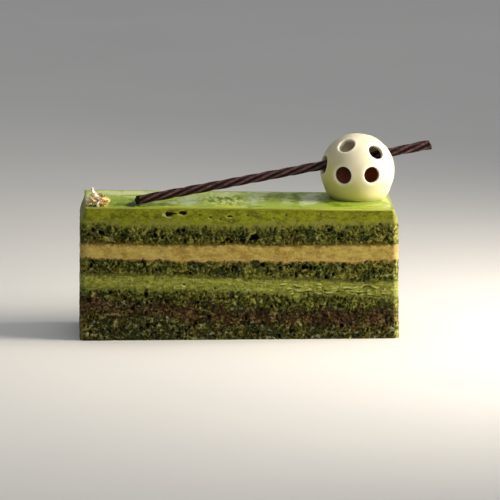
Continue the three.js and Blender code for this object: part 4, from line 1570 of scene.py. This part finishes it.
    def rounded(self, skin: Skin, hole: Hole, loop: np.ndarray, count: int) -> Skin:
        """Joins the two sheets through a hole with the rounded lip.

        Args:
            skin: The ball so far.
            hole: The hole.
            loop: Its edge points on the outer sheet.
            count: Points in one sheet.

        Returns:
            The ball with that hole lined.
        """
        profile = self.lip_rows(hole)[1:-1, :, None, None]
        turn, side, top = hole.around(skin.points[loop] - self.at)
        ring = np.cos(turn)[:, None] * side + np.sin(turn)[:, None] * top
        rows = self.at + profile[:, 0] * ring + profile[:, 1] * hole.axis
        numbers = len(skin.points) + np.arange(rows[..., 0].size).reshape(rows.shape[:2])
        numbers = np.vstack([loop, numbers, loop + count])
        after = np.roll(numbers, -1, 1)
        faces = np.stack([numbers[:-1], after[:-1], after[1:], numbers[1:]], -1).reshape(-1, 4)
        share = np.repeat(np.linspace(0.0, 1.0, len(rows)), len(loop))
        values = {"rim": np.concatenate([skin.values["rim"], 1.0 - smooth((share - 0.3) / 0.2)]),
                  "lining_and_shade": np.concatenate([skin.values["lining_and_shade"], smooth((share - 0.42) / 0.15)])}
        return Skin(np.vstack([skin.points, rows.reshape(-1, 3)]), np.vstack([skin.quads, faces]),
                    skin.triangles, values)

    def tinted(self, skin: Skin) -> Skin:
        """Adds what the finish reads.

        The dark chocolate inside, which also stands for painted shade in the ball, keeps low with a
        ragged edge, and is thinner at the right, where it is painted redder as light shining through. The
        ivory turns yellower towards the foot and the left: painted light bounced from the green glaze and
        painted shade on the side away from the key light.

        Args:
            skin: The ball.

        Returns:
            The same ball.
        """
        rel = skin.points - self.at
        x, y, z = rel.T
        angle = np.arctan2(x, -y) * self.radius
        edge = 1.5 + 1.2 * Field(TURN * self.radius).noise(angle, 0.0 * angle, 6.0, 311)
        # The dark chocolate inside, also painted shade in the ball, keeps below a ragged level.
        skin.values["lining_and_shade"] = skin.values["lining_and_shade"] * (1.0 - 0.95 * smooth((z - edge) / 0.9))
        # Painted glow of light through the dark chocolate, growing to the right.
        skin.values["thin"] = 0.15 + 0.7 * smooth((x + 2.0) / 6.0)
        # Painted bounce light from the green glaze and painted shade: yellower towards the foot and the left.
        skin.values["low"] = 0.75 * smooth(0.4 - z / 20.0 - x / 28.0)
        *way, size = self.spot
        apart = np.arccos(np.clip(unit(rel) @ direction(*way), -1.0, 1.0)) * self.radius
        outside = np.linalg.norm(rel, axis=1) > self.radius - 0.3
        skin.values["spot"] = outside * 0.8 * (1.0 - smooth(apart / size))
        return skin


# ---- the stick ----------------------------------------------------------------------------------

@dataclass(frozen=True)
class TwistedStick:
    """The chocolate stick: five soft ridges in a slow left-handed twist, snapped at both ends.

    Attributes:
        flare: How much thicker its right end is, from the share flare_from of its length on.
        groove: Depth of the grooves.
        pitch: Length of one turn.
        start_cut: How the left end's face leans, across the stick and up it.
        end_cut: The same for the right end.
        fade: Length over which a leaning end levels out.
    """

    start: tuple[float, float, float] = (-34.9, -11.9, 47.9)
    end: tuple[float, float, float] = (67.2, 12.6, 62.7)
    radius: float = 1.65
    flare: float = 0.15
    flare_from: float = 0.85
    ridges: int = 5
    groove: float = 0.46
    pitch: float = 34.5
    sag: float = 0.15
    start_cut: tuple[float, float] = (-0.35, 0.2)
    end_cut: tuple[float, float] = (-0.1, -0.25)
    fade: float = 3.0
    sides: int = 90
    steps: int = 760
    cap_rows: int = 8

    def build(self) -> None:
        """Carries the ridged outline along the line, turning it as it goes, and caps the ends.

        At an angle a the outline is radius - groove(1 - |cos(2.5 a)|) away from the line, less fine
        lines drawn along the ridges. A cap row is the end's outline shrunk, its middle a little rough.
        """
        first = np.array(self.start)
        along = self.end - first
        length = float(np.linalg.norm(along))
        forward, side = unit(along), unit(np.cross((0.0, 0.0, 1.0), along))
        up = np.cross(forward, side)
        caps = np.linspace(0.06, 1.0, self.cap_rows)
        shrink = np.concatenate([caps, np.ones(self.steps - 1), caps[::-1]])[:, None]
        s = np.concatenate([np.zeros(self.cap_rows), np.linspace(0.0, length, self.steps + 1)[1:-1],
                            np.full(self.cap_rows, length)])[:, None]
        angle, share = turns(self.sides), s / length
        around, far = np.broadcast_arrays(angle * self.radius, s)
        field = Field(TURN * self.radius)
        crest = np.abs(np.cos(0.5 * self.ridges * angle))
        radius = self.radius - 0.07 - self.groove * (1.0 - crest) + field.noises(
            around, far, (0.014, 0.26, 401, 26.0), (0.0084, 0.5, 402, 9.0), (0.05, 2.2, 403, 2.5), (0.03, 0.8, 404))
        radius = radius * (1.0 + self.flare / self.radius * smooth((share - self.flare_from) / (1.0 - self.flare_from)))
        turned = angle - TURN * s / self.pitch
        x, y = radius * np.cos(turned) * shrink, radius * np.sin(turned) * shrink
        z = far + 0.12 * Field().noise(x * 3.0, y * 3.0, 1.2, 411) * (1.0 - shrink)
        for (back, rise), distance in ((self.start_cut, s), (self.end_cut, length - s)):
            z = z + np.clip(1.0 - distance / self.fade, 0.0, 1.0) * (back * x + rise * y)
        y = y - 4.0 * self.sag * share * (1.0 - share)
        # raised sets the finish's painted highlight on the ridges and painted shade in the grooves.
        skin = Skin.grid(first + x[..., None] * side + y[..., None] * up + z[..., None] * forward,
                         {"raised": smooth((crest - 0.3) / 0.75) * smooth((shrink - 0.9) / 0.1),
                          "speck": 0.55 * smooth(field.bubbles(around, far, 3.4, (0.05, 0.3), 0.22, 421) / 0.25)})
        ring = np.arange(self.sides)
        for end in (ring[::-1], (len(s) - 1) * self.sides + ring):
            skin = skin.capped(end, np.tile(skin.points[end].mean(0), (self.sides, 1)))
        skin.welded().settled("twisted_stick", ("chocolate_twist",), "dark_chocolate", DARK)


# ---- the gold leaf ------------------------------------------------------------------------------

@dataclass(frozen=True)
class LeafTuft:
    """The tuft of gold leaf: thin torn curls heaped round a middle, one of them standing up.

    Attributes:
        spread: How far the heap reaches each way.
        bends: Smallest and largest radius that a curl is bent to.
        steps: Columns and rows of a curl.
        placed: For the standing curl and the broad yellow one at the right: place from the middle,
            tilt, length, width, bend and tint.
    """

    at: tuple[float, float, float] = (-48.7, -12.4, 46.3)
    spread: tuple[float, float, float] = (4.2, 3.9, 4.2)
    curls: int = 56
    lengths: tuple[float, float] = (2.0, 4.6)
    widths: tuple[float, float] = (0.7, 2.2)
    bends: tuple[float, float] = (0.7, 2.6)
    thickness: float = 0.05
    steps: tuple[int, int] = (15, 5)
    # The standing curl's tint is near the top: it carries the pinkish pale painted highlight.
    placed: tuple[tuple, ...] = (((-0.8, 0.9, 4.5), (0.1, 0.95, 0.9), 3.8, 1.2, 3.0, 0.97),
                                 ((2.9, 0.6, 2.2), (0.3, 0.4, 0.5), 3.8, 3.0, 3.0, 0.42))
    seed: int = 12

    def build(self) -> None:
        """Builds all curls in one mesh, none of them below the glaze."""
        rng = np.random.default_rng(self.seed)
        middle, made = np.array(self.at), []
        for number in range(self.curls):
            reach = math.sqrt((number + 0.5) / self.curls)
            turn = number * GOLDEN_ANGLE
            flat = np.array((math.cos(turn), math.sin(turn)))
            height = (0.12 + 0.66 * (1.0 - reach ** 6)) * rng.uniform(0.25, 1.0)
            centre = middle + np.array(self.spread) * (*(0.8 * reach * flat), height)
            # Tint from brown painted shade to a pinkish pale painted highlight; curls away from the right take more of
            # the highlight.
            tint = 0.5 + 0.35 * rng.normal() + 0.35 * (flat[0] * reach < 0.25)
            tilt = (turn + rng.normal(0.0, 0.8), rng.uniform(-1.3, 1.3), rng.uniform(0.0, math.pi))
            made.append(self.curl(rng, centre, tilt, rng.uniform(*self.lengths), rng.uniform(*self.widths),
                                  rng.uniform(*self.bends), float(np.clip(tint, 0.0, 1.0))))
        made += [self.curl(rng, middle + place, *rest) for place, *rest in self.placed]
        whole = made[0]
        for one in made[1:]:
            whole = whole.plus(one)
        whole.points[:, 2] = np.maximum(whole.points[:, 2], middle[2])
        whole.settled("gold_tuft", ("gold_leaf",), "gold_leaf", GOLD)

    def curl(self, rng: np.random.Generator, centre: np.ndarray, tilt: tuple[float, float, float], length: float,
             width: float, bend: float, tint: float) -> Skin:
        """One curl: a strip bent along an arc, narrowing and torn towards its ends and twisted.

        Along the strip the middle line is an arc of radius bend, and across it the strip turns with
        the distance from its middle. The edges wander by sine waves.

        Args:
            rng: Where its uneven sizes come from.
            centre: Its middle.
            tilt: Turn about +Z, lift out of level, and roll about its own length.
            length: Along the strip.
            width: Across it.
            bend: Radius of the arc.
            tint: Its colour, from 0 to 1.

        Returns:
            A closed thin strip.
        """
        columns, rows = self.steps
        u, v = np.meshgrid(np.linspace(-0.5, 0.5, columns), np.linspace(-0.5, 0.5, rows))
        phase = rng.uniform(0.0, 6.28, 4)
        taper = 1.0 - 0.75 * np.abs(2.0 * u) ** 2.5
        across = width * v * taper * (1.0 + 0.22 * np.sin(11.0 * u + phase[0] + 2.0 * v))
        angle = length * u / bend
        twist = rng.uniform(-1.4, 1.4) * u + 0.4 * np.sin(9.0 * u + phase[1])
        crease = 0.12 * width * np.sin(7.0 * v + phase[2] + 5.0 * u)
        y = across * np.cos(twist) - crease * np.sin(twist)
        out = bend - across * np.sin(twist) - crease * np.cos(twist)
        z = bend - out * np.cos(angle)
        turned = np.linalg.multi_dot([np.array(Matrix.Rotation(by, 3, axis)) for by, axis in zip(tilt, "ZYX")])
        sheet = np.stack([out * np.sin(angle), y, z - 0.5 * z.max()], -1) @ turned.T + centre
        half = 0.5 * self.thickness * unit(np.cross(np.gradient(sheet, axis=1), np.gradient(sheet, axis=0)))
        shade = {"tint": np.full(u.shape, tint)}
        both = Skin.grid(sheet + half, shade, closed=False).plus(
            Skin.grid((sheet - half)[:, ::-1], shade, closed=False))
        number = np.arange(rows * columns).reshape(rows, columns)
        edge = np.concatenate([number[0, :-1], number[:-1, -1], number[-1, :0:-1], number[:0:-1, 0]])
        under = rows * columns + number[:, ::-1].ravel()[edge]
        wall = np.stack([under, np.roll(under, -1), np.roll(edge, -1), edge], -1)
        return Skin(both.points, np.vstack([both.quads, wall]), both.triangles, both.values)


# ---- the crumbs ---------------------------------------------------------------------------------

@dataclass(frozen=True)
class LooseCrumbs:
    """Small crumbs that the knife left clinging to the cut sides.

    Attributes:
        sizes: Smallest and largest radius.
        at_foot: One crumb in this many lies at the foot, at the height foot_height.
        shares: Share of the others, all told, up to each band.
        bands: Each band's lower and upper end: a layer, or -1 for the foot, and how far above it.
    """

    count: int = 420
    sizes: tuple[float, float] = (0.14, 0.42)
    at_foot: int = 5
    foot_height: float = 0.6
    shares: tuple[float, ...] = (0.6, 0.8, 1.0)
    bands: tuple[tuple[tuple[int, float], tuple[int, float]], ...] = (
        ((-1, 0.5), (2, 0.6)), ((3, 0.0), (4, 0.0)), ((5, 0.0), (6, 0.0)))
    seed: int = 19
    block: Block = Block()

    def build(self) -> None:
        """Sets lumpy eight-sided grains into the sides, their outer ends at the outline.

        Each grain is a small sphere of rows and columns whose radius swells and shrinks by up to a
        third, pressed in until its outermost point meets the outline.
        """
        rng = np.random.default_rng(self.seed)
        core, face, s = self.block.columns()
        column = rng.integers(0, len(s), self.count)
        core, face = core[column], face[column]
        heights = self.heights(rng, core)
        e, a = np.linspace(-TURN / 4.0, TURN / 4.0, 6)[:, None], turns(8)
        ball = np.stack(np.broadcast_arrays(np.cos(e) * np.cos(a), np.cos(e) * np.sin(a), np.sin(e)), -1)
        size = mix(*self.sizes, rng.random(self.count) ** 2.5)[:, None]
        lumps = 1.0 + 0.3 * rng.uniform(-1.0, 1.0, (self.count, *ball.shape[:2], 1))
        lumps[:, [0, -1]] = lumps[:, [0, -1], :1]
        middle = np.diagonal(self.block.side(core, face, heights[:, None], 0.0)).T.copy()
        middle[:, :2] -= 1.31 * size * face
        middle[:, 2:] = np.maximum(middle[:, 2:], 1.35 * size)
        points = middle[:, None, None] + size[..., None, None] * lumps * ball
        each = ball[..., 0].size
        quads = (Skin.grid(ball).quads + each * np.arange(self.count)[:, None, None]).reshape(-1, 4)
        none = np.zeros(each * self.count)
        # raised gives the crumbs the sponge's painted highlight.
        values = {"hollow": none, "over": none, "under": none, "raised": none + 0.7,
                  "cocoa": np.repeat(smooth((heights - 5.5) / 1.5) * smooth((11.5 - heights) / 1.5), each)}
        skin = Skin(points.reshape(-1, 3), quads, NO_TRIANGLES, values)
        skin.welded().settled("clinging_crumbs", (), "green_sponge", SPONGE)

    def heights(self, rng: np.random.Generator, core: np.ndarray) -> np.ndarray:
        """Heights for the crumbs: most on the sponges, some dragged onto the creams, some at the foot.

        Args:
            rng: Where the uneven heights come from.
            core: From Block.columns(), for each crumb.

        Returns:
            The heights.
        """
        x, y = (core * self.block.half).T
        share = rng.random(self.count)
        foot = self.count // self.at_foot
        share[:foot] = 0.0
        kinds = [share < most for most in self.shares]
        low, high = (np.select(kinds, [self.block.level(index, x, y) + more for index, more in ends])
                     for ends in zip(*self.bands))
        heights = mix(low, high, rng.random(self.count))
        heights[:foot] = self.foot_height
        return heights


# ---- the studio ---------------------------------------------------------------------------------

@dataclass(frozen=True)
class Softbox:
    """A square soft light: its place and size in metres, its power, its tint and how wide it shines."""

    name: str
    at: tuple[float, float, float]
    size: float
    watts: float
    tint: str = "#ffffff"
    beam: float = 180.0


@dataclass(frozen=True)
class Studio:
    """The plain pale table, the soft lights and the camera at the photograph's angle.

    Distances and clip are in metres, lens and sensor in millimetres, target in the cake's.
    """

    azimuth: float = -2.28
    elevation: float = 10.1
    distance: float = 1.6
    target: tuple[float, float, float] = (4.206, 0.0, 28.133)
    lens: float = 333.0
    sensor: float = 36.0
    clip: tuple[float, float] = (0.01, 20.0)
    table_radius: float = 3.0
    air: str = "#f4f6f8"
    air_strength: float = 0.14
    lights: tuple[Softbox, ...] = (
        Softbox("key", (0.375, -0.06, 0.215), 0.24, 1.12, "#fff4e4", 90.0),
        Softbox("front_fill", (0.1, -1.0, 0.6), 0.8, 1.85, "#f6f3f4"),
        Softbox("overhead", (0.0, 0.5, 2.2), 2.4, 15.0),
    )

    def build(self) -> None:
        """Lays the table, hangs the lights and sets the camera."""
        scene = bpy.context.scene
        self.table()
        focus = Vector(self.target) * MM
        for light in self.lights:
            lamp = bpy.data.lights.new(light.name, "AREA")
            lamp.shape = "SQUARE"
            lamp.size = light.size
            lamp.energy = light.watts
            lamp.color = linear(light.tint)[:3]
            lamp.spread = math.radians(light.beam)
            self.hung(lamp, Vector(light.at), focus)
        world = bpy.data.worlds.new("pale_air")
        world.use_nodes = True
        fill(world.node_tree, world.node_tree.nodes["Background"], {"Color": self.air, "Strength": self.air_strength})
        scene.world = world
        scene.view_settings.view_transform = "Standard"
        scene.view_settings.look = "None"
        lens = bpy.data.cameras.new("camera")
        lens.lens = self.lens
        lens.sensor_width = self.sensor
        lens.clip_start, lens.clip_end = self.clip
        scene.camera = self.hung(lens, focus + Vector(direction(self.azimuth, self.elevation)) * self.distance, focus)

    def hung(self, data: bpy.types.ID, at: Vector, focus: Vector) -> bpy.types.Object:
        """Hangs a lamp or the camera up, turned to a point.

        Args:
            data: The lamp or camera.
            at: Its place, in metres.
            focus: The point.

        Returns:
            Its object, with the data's name.
        """
        holder = bpy.data.objects.new(data.name, data)
        holder.location = at
        holder.rotation_euler = (focus - at).to_track_quat("-Z", "Y").to_euler()
        bpy.context.scene.collection.objects.link(holder)
        return holder

    def table(self) -> None:
        """A wide round disc at the foot's height, from rows of rings."""
        rings = np.concatenate([[0.0], np.geomspace(60.0, self.table_radius / MM, 14)])[::-1, None]
        angle = turns(96)
        points = np.stack(np.broadcast_arrays(rings * np.cos(angle), rings * np.sin(angle), 0.0 * rings), -1)
        top = Skin.grid(points).welded().built("table")
        top.data.materials.append(TABLE.material())


def main() -> None:
    """Builds every piece in order."""
    logging.basicConfig(level=logging.INFO, format="%(name)s %(message)s")
    for part in (Studio(), CakeLayers(), GlazeSkin(), HoledBall(), TwistedStick(), LeafTuft(), LooseCrumbs()):
        part.build()


if __name__ == "__main__":
    main()
